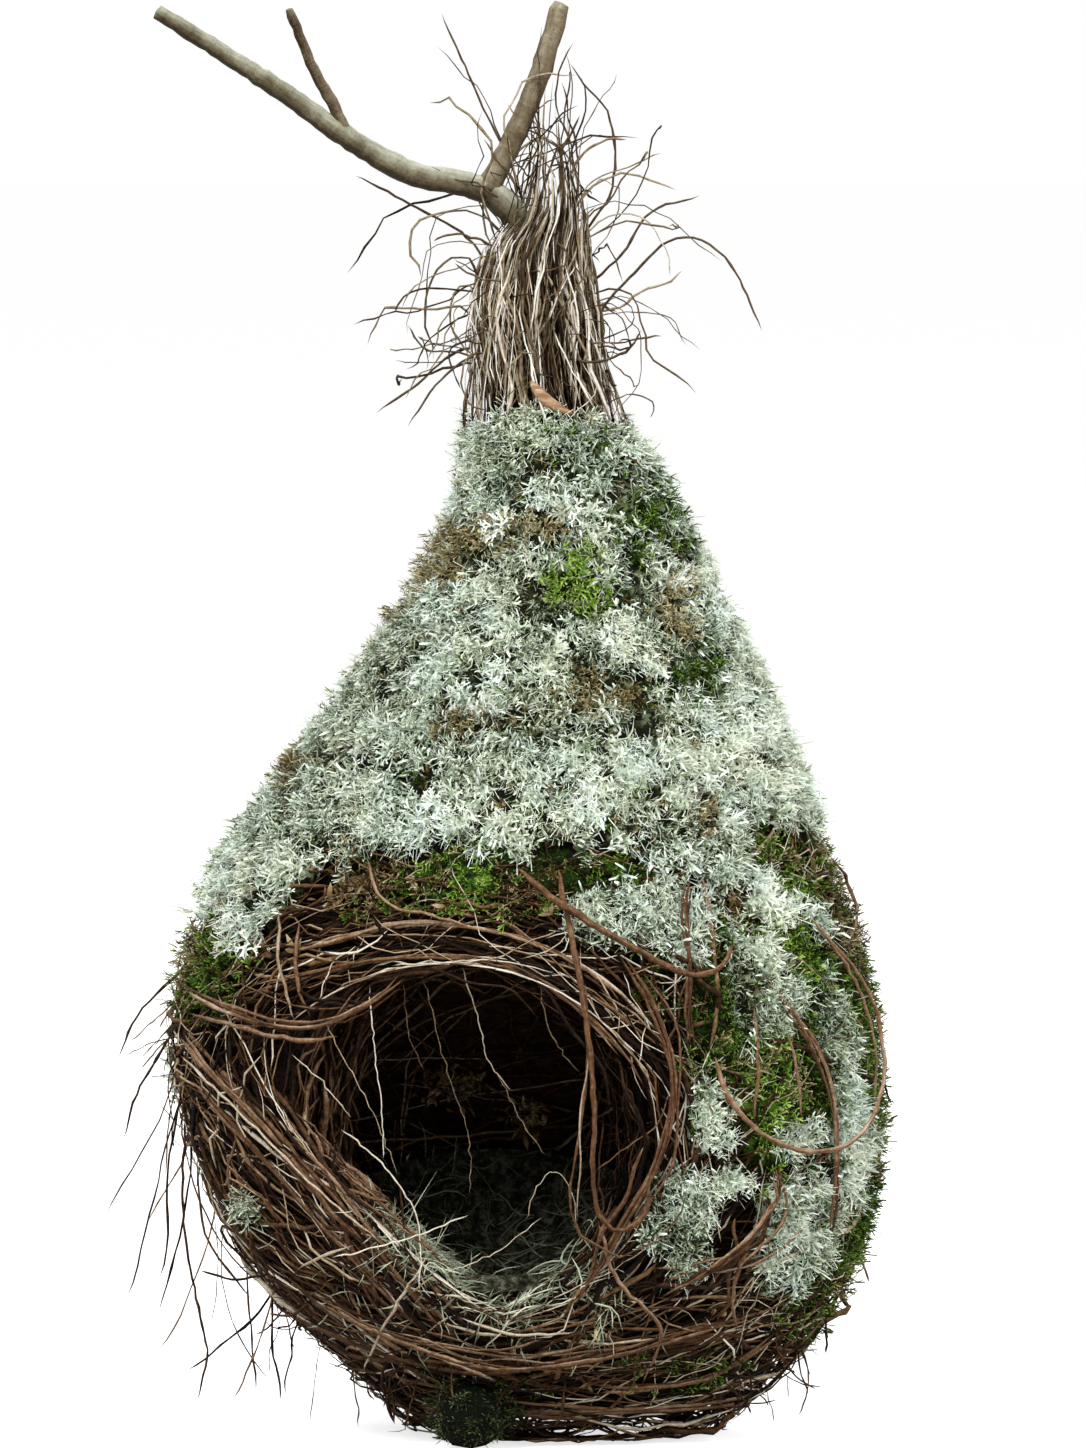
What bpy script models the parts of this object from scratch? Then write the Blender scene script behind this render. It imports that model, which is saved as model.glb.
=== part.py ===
"""An empty hanging bird nest, cut from its tree with the forked twig that its neck is woven round.

The nest stands on its broad woven bottom. Metres, +Z up. The entrance faces -Y, and +X is on the
right of someone who looks into it. The origin is in the flat patch that the nest rests on.
"""

import math

import bmesh
import bpy
import numpy as np
from mathutils import Matrix, Vector

# The woven wall: its outside, from the foot to the neck, as (height, radius, lean towards +X).
WALL_STATIONS = (
    (0.000, 0.033, 0.009),
    (0.010, 0.044, 0.009),
    (0.034, 0.066, 0.006),
    (0.062, 0.0785, 0.002),
    (0.092, 0.0825, -0.002),
    (0.118, 0.078, -0.002),
    (0.142, 0.067, 0.000),
    (0.178, 0.046, 0.006),
    (0.216, 0.025, 0.009),
    (0.246, 0.015, 0.005),
)
WALL_RINGS = 16
WALL_SEGMENTS = 36
DEPTH_SHARE = 0.93  # the nest is a little flatter from front to back than it is wide
GAP = 0.0004  # between neighbours that touch

# The egg chamber, and the wide mouth that leads to it from the front.
CHAMBER_CENTRE = Vector((-0.008, -0.008, 0.077))
CHAMBER_RADII = Vector((0.052, 0.056, 0.052))
CHAMBER_SEGMENTS = 24
MOUTH_OUTER = {"y": -0.110, "x": -0.025, "z": 0.0745, "half_x": 0.059, "half_z": 0.044}
MOUTH_INNER = {"y": -0.025, "x": -0.013, "z": 0.0730, "half_x": 0.031, "half_z": 0.0405}
MOUTH_LIP_POINT = Vector((-0.0690, 0, 0.0913))  # the lower left of the mouth is a slanting lip
MOUTH_LIP_NORMAL = Vector((0.715, 0, 0.699))
LINING_THICKNESS = 0.0045
LINING_FRONT_HEIGHT = 0.0315
LINING_BACK_HEIGHT = 0.064

# Moss and lichen lie on the wall as mats.
MAT_LIFT = 0.0010
MAT_EDGE_SHARE = 0.35  # a mat's thickness at its edge, as a share of the middle's
PATCH_CELLS = 4
CLUMPS_PER_METRE = 170
CAPE_THICKNESS = 0.0062
CAPE_TOP = 0.2405
CAPE_HEM = 0.001
CAPE_SEGMENTS = 32
CAPE_ROWS = 6

# The neck: fibres bound round the end of the twig, as (height, radius, lean towards +X).
NECK_STATIONS = (
    (0.2465, 0.0165, 0.005),
    (0.262, 0.0155, 0.003),
    (0.279, 0.0130, 0.003),
    (0.290, 0.0095, 0.005),
    (0.302, 0.0050, 0.008),
    (0.318, 0.0028, 0.010),
    (0.334, 0.0012, 0.011),
)
NECK_RINGS = 14
NECK_SEGMENTS = 27
NECK_FLUTES = 9
NECK_FLUTE_DEPTH = 0.09

# The forked twig.
TWIG_RADIUS = 0.0032
ARM_RADIUS = 0.0027
SPRIG_RADIUS = 0.0016
TWIG_STEP = 0.006  # between the points of a route
ROOT_STEP = 0.0075
LOOSE_ROOT_STEP = 0.005
TWIG_ROUTE = (
    (-0.089, -0.012, 0.3415),
    (-0.071, -0.010, 0.3300),
    (-0.058, -0.008, 0.3215),
    (-0.044, -0.006, 0.3115),
    (-0.029, -0.004, 0.3030),
    (-0.0135, -0.002, 0.2995),
    (-0.005, -0.001, 0.2940),
    (0.000, 0.000, 0.2830),
    (0.002, 0.001, 0.2680),
)
ARM_ROUTE = (
    (-0.0105, -0.0015, 0.2982),
    (-0.0075, -0.001, 0.3040),
    (-0.0030, 0.001, 0.3130),
    (0.0015, 0.003, 0.3240),
    (0.0045, 0.005, 0.3330),
    (0.0075, 0.008, 0.3430),
)
SPRIG_ROUTE = (
    (-0.0440, -0.0060, 0.3115),
    (-0.0475, -0.0075, 0.3200),
    (-0.0510, -0.0090, 0.3260),
    (-0.0545, -0.0110, 0.3345),
    (-0.0575, -0.0130, 0.3420),
)

# Roots and vines on the wall: name, radius and a route of (x, height, clearance under it). One
# that lies on the wall has no clearance, and one that crosses others rides over them.
FRONT_ROOTS = (
    ("rim_root_top_inner", 0.0012, (
        (-0.070, 0.1080, 0.0010), (-0.057, 0.1120, 0), (-0.040, 0.1170, 0), (-0.022, 0.1195, 0),
        (-0.006, 0.1175, 0), (0.008, 0.1100, 0), (0.020, 0.0980, 0), (0.027, 0.0860, 0))),
    ("rim_root_top_outer", 0.0013, (
        (-0.058, 0.1180, 0), (-0.044, 0.1225, 0), (-0.028, 0.1265, 0), (-0.012, 0.1255, 0),
        (0.003, 0.1210, 0), (0.017, 0.1130, 0), (0.029, 0.1010, 0))),
    ("rim_root_right", 0.0014, (
        (0.018, 0.124, 0.0044), (0.026, 0.110, 0.0040), (0.031, 0.095, 0.0038),
        (0.031, 0.081, 0.0034), (0.027, 0.068, 0.0030), (0.021, 0.056, 0.0012),
        (0.015, 0.043, 0), (0.009, 0.032, 0))),
    ("rim_root_hanging", 0.0010, (
        (0.0060, 0.140, 0.0052), (0.0080, 0.128, 0.0061), (0.0105, 0.114, 0.0066),
        (0.0125, 0.099, 0.0066), (0.0135, 0.083, 0.0066), (0.0135, 0.066, 0.0066),
        (0.0155, 0.0575, 0.0066), (0.020, 0.0550, 0.0071), (0.0245, 0.0590, 0.0074),
        (0.0255, 0.0665, 0.0074))),
    ("rim_bundle_upper", 0.0017, (
        (-0.0820, 0.0985, 0), (-0.0715, 0.0885, 0), (-0.0590, 0.0760, 0), (-0.0500, 0.0655, 0),
        (-0.0415, 0.0555, 0), (-0.0335, 0.0465, 0), (-0.0250, 0.0370, 0), (-0.0155, 0.0260, 0))),
    ("rim_bundle_lower", 0.0014, (
        (-0.0815, 0.0910, 0), (-0.0740, 0.0825, 0), (-0.0620, 0.0705, 0), (-0.0530, 0.0605, 0),
        (-0.0445, 0.0510, 0), (-0.0365, 0.0420, 0), (-0.0280, 0.0325, 0), (-0.0200, 0.0240, 0))),
    ("shoulder_root_left", 0.0013, (
        (-0.083, 0.1110, 0.0042), (-0.076, 0.1085, 0.0042), (-0.066, 0.1050, 0.0042),
        (-0.056, 0.1025, 0.0036), (-0.045, 0.1035, 0.0030))),
    ("left_edge_root", 0.0014, (
        (-0.0800, 0.0790, 0), (-0.0765, 0.0670, 0), (-0.0700, 0.0550, 0), (-0.0610, 0.0425, 0),
        (-0.0500, 0.0315, 0), (-0.0390, 0.0225, 0), (-0.0290, 0.0160, 0))),
    ("bottom_root", 0.0013, (
        (-0.056, 0.0430, 0.0040), (-0.038, 0.0320, 0.0042), (-0.020, 0.0250, 0.0042),
        (-0.004, 0.0205, 0.0042), (0.013, 0.0225, 0.0036), (0.031, 0.0270, 0.0012),
        (0.050, 0.0320, 0), (0.064, 0.0370, 0))),
    ("front_vine", 0.0011, (
        (-0.003, 0.1410, 0.0090), (0.004, 0.1340, 0.0090), (0.014, 0.1265, 0.0090),
        (0.025, 0.1195, 0.0090), (0.034, 0.1150, 0.0086), (0.040, 0.1170, 0.0080),
        (0.0425, 0.1225, 0.0075))),
    ("standing_root_right", 0.0013, (
        (0.034, 0.1375, 0.0047), (0.0335, 0.1270, 0.0047), (0.0345, 0.1160, 0.0045),
        (0.0355, 0.1050, 0.0030), (0.0375, 0.0960, 0.0020))),
    ("vine_loop_right", 0.0011, (
        (0.040, 0.0960, 0.0060), (0.043, 0.0860, 0.0060), (0.0495, 0.0770, 0.0072),
        (0.059, 0.0720, 0.0076), (0.068, 0.0730, 0.0076), (0.0745, 0.0800, 0.0072),
        (0.077, 0.0910, 0.0066), (0.0755, 0.1040, 0.0060), (0.070, 0.1150, 0.0056),
        (0.063, 0.1235, 0.0052))),
    ("long_root_right", 0.0015, (
        (0.051, 0.1140, 0.0042), (0.058, 0.1040, 0.0042), (0.0635, 0.0950, 0.0042),
        (0.0675, 0.0830, 0.0042), (0.0685, 0.0700, 0.0042), (0.0675, 0.0580, 0.0042),
        (0.0655, 0.0490, 0.0042))),
    ("foot_root_right", 0.0014, (
        (0.014, 0.0150, 0), (0.027, 0.0150, 0), (0.040, 0.0175, 0), (0.050, 0.0225, 0),
        (0.060, 0.0290, 0))),
    ("low_root_right", 0.0012, (
        (0.054, 0.0700, 0.0044), (0.0535, 0.0610, 0.0052), (0.049, 0.0530, 0.0054),
        (0.040, 0.0455, 0.0050), (0.029, 0.0385, 0.0024))),
)

# Roots that run round the foot and the back: name, radius, first and last angle in degrees,
# height, and rise of the far end.
HOOP_STEP = 12  # degrees
HOOP_ROOTS = (
    ("foot_hoop_low", 0.0013, -178, 178, 0.0085, 0.0018),
    ("foot_hoop_back", 0.0015, -20, 192, 0.0210, 0.0050),
    ("belly_hoop_back", 0.0014, 8, 186, 0.0420, -0.0070),
    ("waist_hoop_back", 0.0013, 14, 182, 0.0560, 0.0090),
)

# Patches of moss and lichen: name, facing angle in degrees (-90 is the front), height, half its
# width along the wall, half its height, thickness, and a number that varies its outline.
LICHEN_PATCHES = (
    ("lichen_patch_front", -64, 0.1300, 0.0110, 0.0060, 0.0034, 1),
    ("lichen_patch_drape", -49, 0.1080, 0.0075, 0.0160, 0.0036, 2),
    ("lichen_patch_right_edge", -19, 0.0820, 0.0090, 0.0280, 0.0036, 3),
    ("lichen_patch_low_right", -33, 0.0530, 0.0110, 0.0095, 0.0034, 4),
    ("lichen_patch_rosette", -61, 0.0580, 0.0110, 0.0115, 0.0034, 5),
    ("lichen_patch_back", 112, 0.1020, 0.0240, 0.0200, 0.0036, 6),
    ("lichen_patch_back_left", 158, 0.0820, 0.0160, 0.0150, 0.0034, 7),
)
MOSS_PATCHES = (
    ("moss_patch_left", -163, 0.1165, 0.0240, 0.0050, 0.0036, 8),
    ("moss_patch_front", -104, 0.1350, 0.0120, 0.0036, 0.0026, 9),
    ("moss_patch_right_top", -26, 0.1285, 0.0150, 0.0080, 0.0036, 10),
    ("moss_patch_right", -41, 0.0800, 0.0085, 0.0150, 0.0034, 11),
    ("moss_patch_right_low", -8, 0.0440, 0.0130, 0.0080, 0.0034, 12),
    ("moss_patch_right_side", 12, 0.0960, 0.0150, 0.0260, 0.0036, 13),
    ("moss_patch_back", 62, 0.0880, 0.0220, 0.0260, 0.0036, 14),
)

# Loose ends: name, the angle and height at which one leaves the neck or the wall, and its free
# route. On the neck the angle is that of a ridge.
LOOSE_ROOT_RADIUS = 0.0006
ROOTED_LENGTH = 0.006
LOOSE_NECK_ROOTS = (
    ("loose_root_arc_right", 0, 0.2680, (
        (0.0250, -0.003, 0.2790), (0.033, -0.006, 0.2865), (0.041, -0.008, 0.2870),
        (0.048, -0.009, 0.2810), (0.0525, -0.010, 0.2720), (0.0555, -0.010, 0.2650))),
    ("loose_root_bow_right", 40, 0.2850, (
        (0.0190, 0.006, 0.2970), (0.0205, 0.006, 0.3080), (0.0185, 0.005, 0.3175),
        (0.0130, 0.004, 0.3240), (0.0095, 0.004, 0.3290))),
    ("loose_root_fork_right", 40, 0.2730, (
        (0.0220, 0.011, 0.2830), (0.029, 0.013, 0.2930), (0.041, 0.014, 0.2970))),
    ("loose_root_bow_left", 200, 0.2755, (
        (-0.0145, -0.006, 0.2825), (-0.0205, -0.008, 0.2815), (-0.0245, -0.009, 0.2750),
        (-0.0250, -0.010, 0.2660), (-0.0225, -0.009, 0.2600))),
    ("loose_root_low_left", 200, 0.2590, (
        (-0.0185, -0.006, 0.2560), (-0.0240, -0.006, 0.2500), (-0.0295, -0.006, 0.2420))),
    ("loose_root_far_left", 160, 0.2600, (
        (-0.0190, 0.006, 0.2590), (-0.0270, 0.006, 0.2520), (-0.0370, 0.004, 0.2450))),
    ("loose_root_high_left", 160, 0.2800, (
        (-0.0150, 0.007, 0.2870), (-0.0270, 0.009, 0.2940), (-0.0420, 0.010, 0.3020))),
    ("loose_root_tall_left", 120, 0.2900, (
        (-0.0040, 0.009, 0.3030), (-0.0110, 0.010, 0.3180), (-0.0165, 0.011, 0.3300),
        (-0.0215, 0.011, 0.3410))),
)
HANGING_WALL_ROOTS = (
    ("hanging_root_left_high", 177, 0.1120, (
        (-0.0880, 0.003, 0.1070), (-0.0945, 0.002, 0.1000), (-0.0990, 0.001, 0.0900))),
    ("hanging_root_left_middle", -176, 0.0980, (
        (-0.0895, -0.007, 0.0905), (-0.0945, -0.008, 0.0820), (-0.0975, -0.008, 0.0710))),
    ("hanging_root_left_low", -176, 0.0760, (
        (-0.0835, -0.008, 0.0620), (-0.0825, -0.009, 0.0470), (-0.0795, -0.009, 0.0310),
        (-0.0775, -0.010, 0.0190), (-0.0800, -0.010, 0.0080))),
)

# A curled sliver of bark caught in the neck, and the tuft of moss that trails from the foot.
SLIVER_LENGTH = 0.011
SLIVER_WIDTH = 0.0034
SLIVER_THICKNESS = 0.0006
SLIVER_CENTRE = Vector((0.0045, -0.0170, 0.2510))
TUFT_CENTRE = Vector((-0.014, -0.0465, 0.0082))
TUFT_RADII = Vector((0.0085, 0.0075, 0.0082))

FINISHES = {
    "woven_roots": ((0.150, 0.080, 0.042), 0.85),
    "root_bark": ((0.270, 0.150, 0.085), 0.75),
    "dry_fibre": ((0.340, 0.255, 0.165), 0.80),
    "twig_bark": ((0.265, 0.255, 0.205), 0.70),
    "lichen": ((0.560, 0.640, 0.540), 0.95),
    "moss": ((0.115, 0.205, 0.040), 0.95),
    "cup_lining": ((0.300, 0.330, 0.245), 0.95),
}

nest = bpy.data.collections.new("bird_nest")
cutters = bpy.data.collections.new("cutters")


def clear_scene():
    for item in list(bpy.data.objects):
        bpy.data.objects.remove(item, do_unlink=True)
    bpy.context.scene.collection.children.link(nest)
    bpy.context.scene.collection.children.link(cutters)


def finish(name):
    """The named material, made the first time that a piece asks for it."""
    made = bpy.data.materials.get(name)
    if made:
        return made
    colour, roughness = FINISHES[name]
    made = bpy.data.materials.new(name)
    made.use_nodes = True
    shader = made.node_tree.nodes["Principled BSDF"]
    shader.inputs["Base Color"].default_value = (*colour, 1)
    shader.inputs["Roughness"].default_value = roughness
    made.diffuse_color = (*colour, 1)
    return made


def add_piece(name, data, finish_name):
    piece = bpy.data.objects.new(name, data)
    data.materials.append(finish(finish_name))
    nest.objects.link(piece)
    return piece


def add_cutter(name, mesh):
    cutter = bpy.data.objects.new(name, mesh)
    cutter.hide_render = True
    cutter.display_type = "WIRE"
    cutters.objects.link(cutter)
    return cutter


def cut(piece, cutter):
    boolean = piece.modifiers.new("cut by " + cutter.name, "BOOLEAN")
    boolean.operation = "DIFFERENCE"
    boolean.solver = "EXACT"
    boolean.object = cutter


def mesh_from(shape, name, smooth=True):
    """Turns a finished bmesh into a mesh, with its faces pointing out."""
    bmesh.ops.recalc_face_normals(shape, faces=shape.faces)
    mesh = bpy.data.meshes.new(name)
    shape.to_mesh(mesh)
    shape.free()
    if smooth:
        mesh.shade_smooth()
    return mesh


# The surface that everything lies on


def at_height(stations, height):
    """(radius, lean) at a height, on a smooth curve through the stations."""
    heights, radii, leans = np.array(stations).T
    slopes_r = np.gradient(radii, heights)
    slopes_l = np.gradient(leans, heights)
    height = min(max(height, heights[0]), heights[-1])
    i = min(int(np.searchsorted(heights, height, side="right")), len(heights) - 1)
    step = heights[i] - heights[i - 1]
    t = (height - heights[i - 1]) / step
    start, end = (1 + 2 * t) * (1 - t) ** 2, t * t * (3 - 2 * t)
    leave, arrive = t * (1 - t) ** 2 * step, t * t * (t - 1) * step

    def through(values, slopes):
        return float(
            start * values[i - 1] + end * values[i] + leave * slopes[i - 1] + arrive * slopes[i]
        )

    return through(radii, slopes_r), through(leans, slopes_l)


def lifted_radius(height, lift):
    """(radius, lean) of a surface that stands off the wall by lift, square to its slope."""
    radius, lean = at_height(WALL_STATIONS, height)
    step = 0.001
    slope = (at_height(WALL_STATIONS, height + step)[0] - radius) / step
    return radius + lift * math.hypot(1, slope), lean


def wall_point(angle, height, lift):
    """A point off the woven wall by lift. Angle -90 degrees is the front, and 0 is +X."""
    radius, lean = lifted_radius(height, lift)
    turn = math.radians(angle)
    return Vector(
        (lean + radius * math.cos(turn), DEPTH_SHARE * radius * math.sin(turn), height)
    )


def front_point(x, height, lift):
    """The point on the front of the wall, lifted off it, that is seen at this x."""
    radius, lean = lifted_radius(height, lift)
    across = min(max((x - lean) / radius, -0.999), 0.999)
    return wall_point(-math.degrees(math.acos(across)), height, lift)


def smooth_route(points, step):
    """Points about a step apart on a Catmull-Rom curve through the given ones."""
    given = [Vector(p) for p in points]
    padded = [2 * given[0] - given[1], *given, 2 * given[-1] - given[-2]]
    route = [given[0]]
    for before, start, end, after in zip(padded, padded[1:], padded[2:], padded[3:]):
        count = max(1, round((end - start).length / step))
        for k in range(1, count + 1):
            t = k / count
            route.append(
                0.5
                * (
                    2 * start
                    + (end - before) * t
                    + (2 * before - 5 * start + 4 * end - after) * t**2
                    + (3 * start - before - 3 * end + after) * t**3
                )
            )
    return route


# The woven wall, the chamber in it and the lining of the chamber


def turned_solid(stations, rings, segments, flute=0.0, flutes=0):
    """A solid turned about a leaning axis, with flat ends and a fluted side if asked for."""
    low, high = stations[0][0], stations[-1][0]
    heights = [low + (high - low) * k / rings for k in range(rings + 1)]
    shape = bmesh.new()
    outline = [shape.verts.new((0, 0, low))]
    outline += [shape.verts.new((at_height(stations, z)[0], 0, z)) for z in heights]
    outline.append(shape.verts.new((0, 0, high)))
    edges = [shape.edges.new(pair) for pair in zip(outline, outline[1:])]
    bmesh.ops.spin(
        shape,
        geom=outline + edges,
        axis=(0, 0, 1),
        cent=(0, 0, 0),
        angle=2 * math.pi,
        steps=segments,
        use_merge=True,
    )
    bmesh.ops.remove_doubles(shape, verts=shape.verts, dist=1e-6)
    for vert in shape.verts:
        lean = at_height(stations, vert.co.z)[1]
        swell = 1 + flute * math.cos(flutes * math.atan2(vert.co.y, vert.co.x))
        vert.co.x = vert.co.x * swell + lean
        vert.co.y *= swell * DEPTH_SHARE
    return shape


def chamber_ball(inset=0.0):
    shape = bmesh.new()
    bmesh.ops.create_uvsphere(
        shape, u_segments=CHAMBER_SEGMENTS, v_segments=CHAMBER_SEGMENTS // 2, radius=1
    )
    radii = CHAMBER_RADII - Vector((inset, inset, inset))
    bmesh.ops.scale(shape, vec=radii, verts=shape.verts)
    bmesh.ops.translate(shape, vec=CHAMBER_CENTRE, verts=shape.verts)
    return shape


def mouth_funnel():
    """The cutter for the entrance: wide outside, narrower at the chamber."""
    shape = bmesh.new()
    bmesh.ops.create_cone(
        shape, cap_ends=True, segments=CHAMBER_SEGMENTS, radius1=1, radius2=1, depth=1
    )
    for vert in shape.verts:
        share = 0.5 - vert.co.z
        here = {
            key: MOUTH_INNER[key] + (MOUTH_OUTER[key] - MOUTH_INNER[key]) * share
            for key in MOUTH_OUTER
        }
        vert.co = (
            here["x"] + vert.co.x * here["half_x"],
            here["y"],
            here["z"] + vert.co.y * here["half_z"],
        )
    bmesh.ops.bisect_plane(
        shape,
        geom=shape.verts[:] + shape.edges[:] + shape.faces[:],
        plane_co=MOUTH_LIP_POINT,
        plane_no=MOUTH_LIP_NORMAL,
        clear_inner=True,
    )
    bmesh.ops.holes_fill(shape, edges=shape.edges)
    return shape


def make_wall():
    body = turned_solid(WALL_STATIONS, WALL_RINGS, WALL_SEGMENTS)
    wall = add_piece("woven_wall", mesh_from(body, "woven_wall"), "woven_roots")
    cut(wall, add_cutter("chamber", mesh_from(chamber_ball(), "chamber")))
    cut(wall, add_cutter("mouth", mesh_from(mouth_funnel(), "mouth")))


def make_lining():
    """A bowl of fine lichen threads in the bottom of the chamber, lower at the mouth."""
    bowl = chamber_ball(inset=GAP)
    front, back = CHAMBER_CENTRE.y - CHAMBER_RADII.y, CHAMBER_CENTRE.y + CHAMBER_RADII.y
    slope = (LINING_BACK_HEIGHT - LINING_FRONT_HEIGHT) / (back - front)
    bmesh.ops.bisect_plane(
        bowl,
        geom=bowl.verts[:] + bowl.edges[:] + bowl.faces[:],
        plane_co=(0, front, LINING_FRONT_HEIGHT),
        plane_no=(0, -slope, 1),
        clear_outer=True,
    )
    lining = add_piece("cup_lining", mesh_from(bowl, "cup_lining"), "cup_lining")
    solidify = lining.modifiers.new("thickness", "SOLIDIFY")
    solidify.thickness = LINING_THICKNESS
    solidify.offset = -1


# Mats of lichen and moss


def thicken(mat, thickness, shares):
    """Gives a mat its thickness outwards: all of it at points with a share of 1, least at 0."""
    group = mat.vertex_groups.new(name="middle")
    for index, share in enumerate(shares):
        group.add([index], share, "REPLACE")
    solidify = mat.modifiers.new("thickness", "SOLIDIFY")
    solidify.thickness = thickness
    solidify.offset = 1
    solidify.vertex_group = "middle"
    solidify.thickness_vertex_group = MAT_EDGE_SHARE


def outward_mesh(shape, name):
    """A sheet on the wall as a mesh whose normals face away from the nest's axis."""
    mesh = mesh_from(shape, name)
    face = mesh.polygons[0]
    away = Vector((face.center.x, face.center.y, 0))
    if face.normal.dot(away) < 0:
        mesh.flip_normals()
    return mesh


def clump(place):
    """How thick a mat is at a place, from 0.4 to 1: it grows in uneven cushions."""
    x, y, z = place * CLUMPS_PER_METRE
    return 0.7 + 0.3 * math.sin(x + 1.7 * math.sin(z)) * math.cos(y + 1.3 * z)


def make_cape():
    """The lichen that clothes the roof all round, from the neck to a ragged lower edge."""
    shape = bmesh.new()
    bmesh.ops.create_grid(shape, x_segments=CAPE_SEGMENTS, y_segments=CAPE_ROWS, size=0.5)
    for vert in shape.verts:
        angle, up = 360 * (vert.co.x + 0.5), vert.co.y + 0.5
        low = cape_edge(angle)
        vert.co = wall_point(angle, low + (CAPE_TOP - low) * up, MAT_LIFT)
    bmesh.ops.remove_doubles(shape, verts=shape.verts, dist=1e-5)
    cape = add_piece("lichen_cape", outward_mesh(shape, "lichen_cape"), "lichen")
    shares = []
    for vert in cape.data.vertices:
        to_edge = min(CAPE_TOP - vert.co.z, vert.co.z - cape_edge(angle_of(vert.co)))
        shares.append(clump(vert.co) if to_edge > CAPE_HEM else 0.0)
    thicken(cape, CAPE_THICKNESS, shares)


def angle_of(point):
    lean = at_height(WALL_STATIONS, point.z)[1]
    return math.degrees(math.atan2(point.y / DEPTH_SHARE, point.x - lean)) % 360


def cape_edge(angle):
    """Height of the cape's lower edge: it hangs lowest on the left, and is ragged all round."""
    left = max(0.0, math.cos(math.radians(angle - 200))) ** 6
    back = max(0.0, math.cos(math.radians(angle - 95))) ** 2
    ragged = 0.0016 * math.sin(math.radians(7 * angle)) + 0.0010 * math.sin(math.radians(13 * angle))
    return 0.1425 - 0.0170 * left - 0.0080 * back + ragged


def make_patch(name, facing, height, half_width, half_height, thickness, variety, finish_name):
    """One irregular mat. A square grid is rounded to a disc, and its outline is made wavy."""
    shape = bmesh.new()
    bmesh.ops.create_grid(shape, x_segments=PATCH_CELLS, y_segments=PATCH_CELLS, size=1)
    shares = []
    for vert in shape.verts:
        x, y = vert.co.x, vert.co.y
        x, y = x * math.sqrt(1 - y * y / 2), y * math.sqrt(1 - x * x / 2)
        turn = math.atan2(y, x)
        wave = 1 + 0.09 * math.sin(3 * turn + variety) + 0.06 * math.sin(5 * turn + 2 * variety)
        inside = math.hypot(x, y) < 0.95
        shares.append(clump(Vector((x, variety, y)) * half_width) if inside else 0.0)
        z = height + half_height * y * wave
        radius = at_height(WALL_STATIONS, z)[0]
        angle = facing + math.degrees(half_width * x * wave / radius)
        vert.co = wall_point(angle, z, MAT_LIFT)
    patch = add_piece(name, outward_mesh(shape, name), finish_name)
    thicken(patch, thickness, shares)


# Roots, vines, the neck and the twig


def add_tube(name, route, radius, finish_name, start_share=1.0, end_share=1.0, resolution=1):
    """A round stick or root along a route, with flat ends, tapering evenly."""
    curve = bpy.data.curves.new(name, "CURVE")
    curve.dimensions = "3D"
    curve.bevel_depth = radius
    curve.bevel_resolution = resolution
    curve.use_fill_caps = True
    spline = curve.splines.new("POLY")
    spline.points.add(len(route) - 1)
    for k, (point, place) in enumerate(zip(spline.points, route)):
        point.co = (*place, 1)
        point.radius = start_share + (end_share - start_share) * k / (len(route) - 1)
    return add_piece(name, curve, finish_name)


def make_wall_roots():
    for name, radius, places in FRONT_ROOTS:
        route = [
            front_point(x, height, radius + GAP + clearance)
            for x, height, clearance in smooth_route(places, ROOT_STEP)
        ]
        add_tube(name, route, radius, "root_bark", start_share=0.85, end_share=0.7)
    for name, radius, first, last, height, rise in HOOP_ROOTS:
        count = round(abs(last - first) / HOOP_STEP)
        route = [
            wall_point(first + (last - first) * t, height + rise * t, radius + GAP)
            for t in (k / count for k in range(count + 1))
        ]
        add_tube(name, route, radius, "root_bark", start_share=0.85, end_share=0.75)


def neck_point(angle, height, lift):
    """A point off a ridge of the neck."""
    radius, lean = at_height(NECK_STATIONS, height)
    out = radius * (1 + NECK_FLUTE_DEPTH) + lift
    turn = math.radians(angle)
    return Vector((lean + out * math.cos(turn), DEPTH_SHARE * out * math.sin(turn), height))


def make_loose_roots():
    lift = LOOSE_ROOT_RADIUS + GAP
    for name, ridge, height, route in LOOSE_NECK_ROOTS:
        low, high = (neck_point(ridge, h, lift) for h in (height - ROOTED_LENGTH, height))
        add_loose_end(name, (low, high, *route), "dry_fibre")
    for name, angle, height, route in HANGING_WALL_ROOTS:
        high, low = (wall_point(angle, h, lift) for h in (height + ROOTED_LENGTH, height))
        add_loose_end(name, (high, low, *route), "root_bark")


def add_loose_end(name, route, finish_name):
    route = smooth_route(route, LOOSE_ROOT_STEP)
    add_tube(name, route, LOOSE_ROOT_RADIUS, finish_name, end_share=0.5, resolution=0)


def make_twig():
    """The main limb, and two branches that butt against it."""
    limb = smooth_route(TWIG_ROUTE, TWIG_STEP)
    add_tube("twig_main", limb, TWIG_RADIUS, "twig_bark", resolution=2)
    for name, places, radius in (
        ("twig_arm_right", ARM_ROUTE, ARM_RADIUS),
        ("twig_sprig_left", SPRIG_ROUTE, SPRIG_RADIUS),
    ):
        solid = welded_tube(name, smooth_route(places, TWIG_STEP), radius)
        cut(add_piece(name, solid, "twig_bark"), bpy.data.objects["twig_clearance"])


def make_twig_clearance():
    """The space that the main limb takes, with the gap all round it."""
    limb = smooth_route(TWIG_ROUTE, TWIG_STEP)
    limb[-1] = limb[-1] + (limb[-1] - limb[-2]).normalized() * GAP
    add_cutter("twig_clearance", welded_tube("twig_clearance", limb, TWIG_RADIUS + GAP))


def make_neck():
    """The fibres of the neck, with a socket where the end of the twig runs down into them."""
    bundle = turned_solid(NECK_STATIONS, NECK_RINGS, NECK_SEGMENTS, NECK_FLUTE_DEPTH, NECK_FLUTES)
    neck = add_piece("neck_fibres", mesh_from(bundle, "neck_fibres"), "dry_fibre")
    cut(neck, bpy.data.objects["twig_clearance"])


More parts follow.
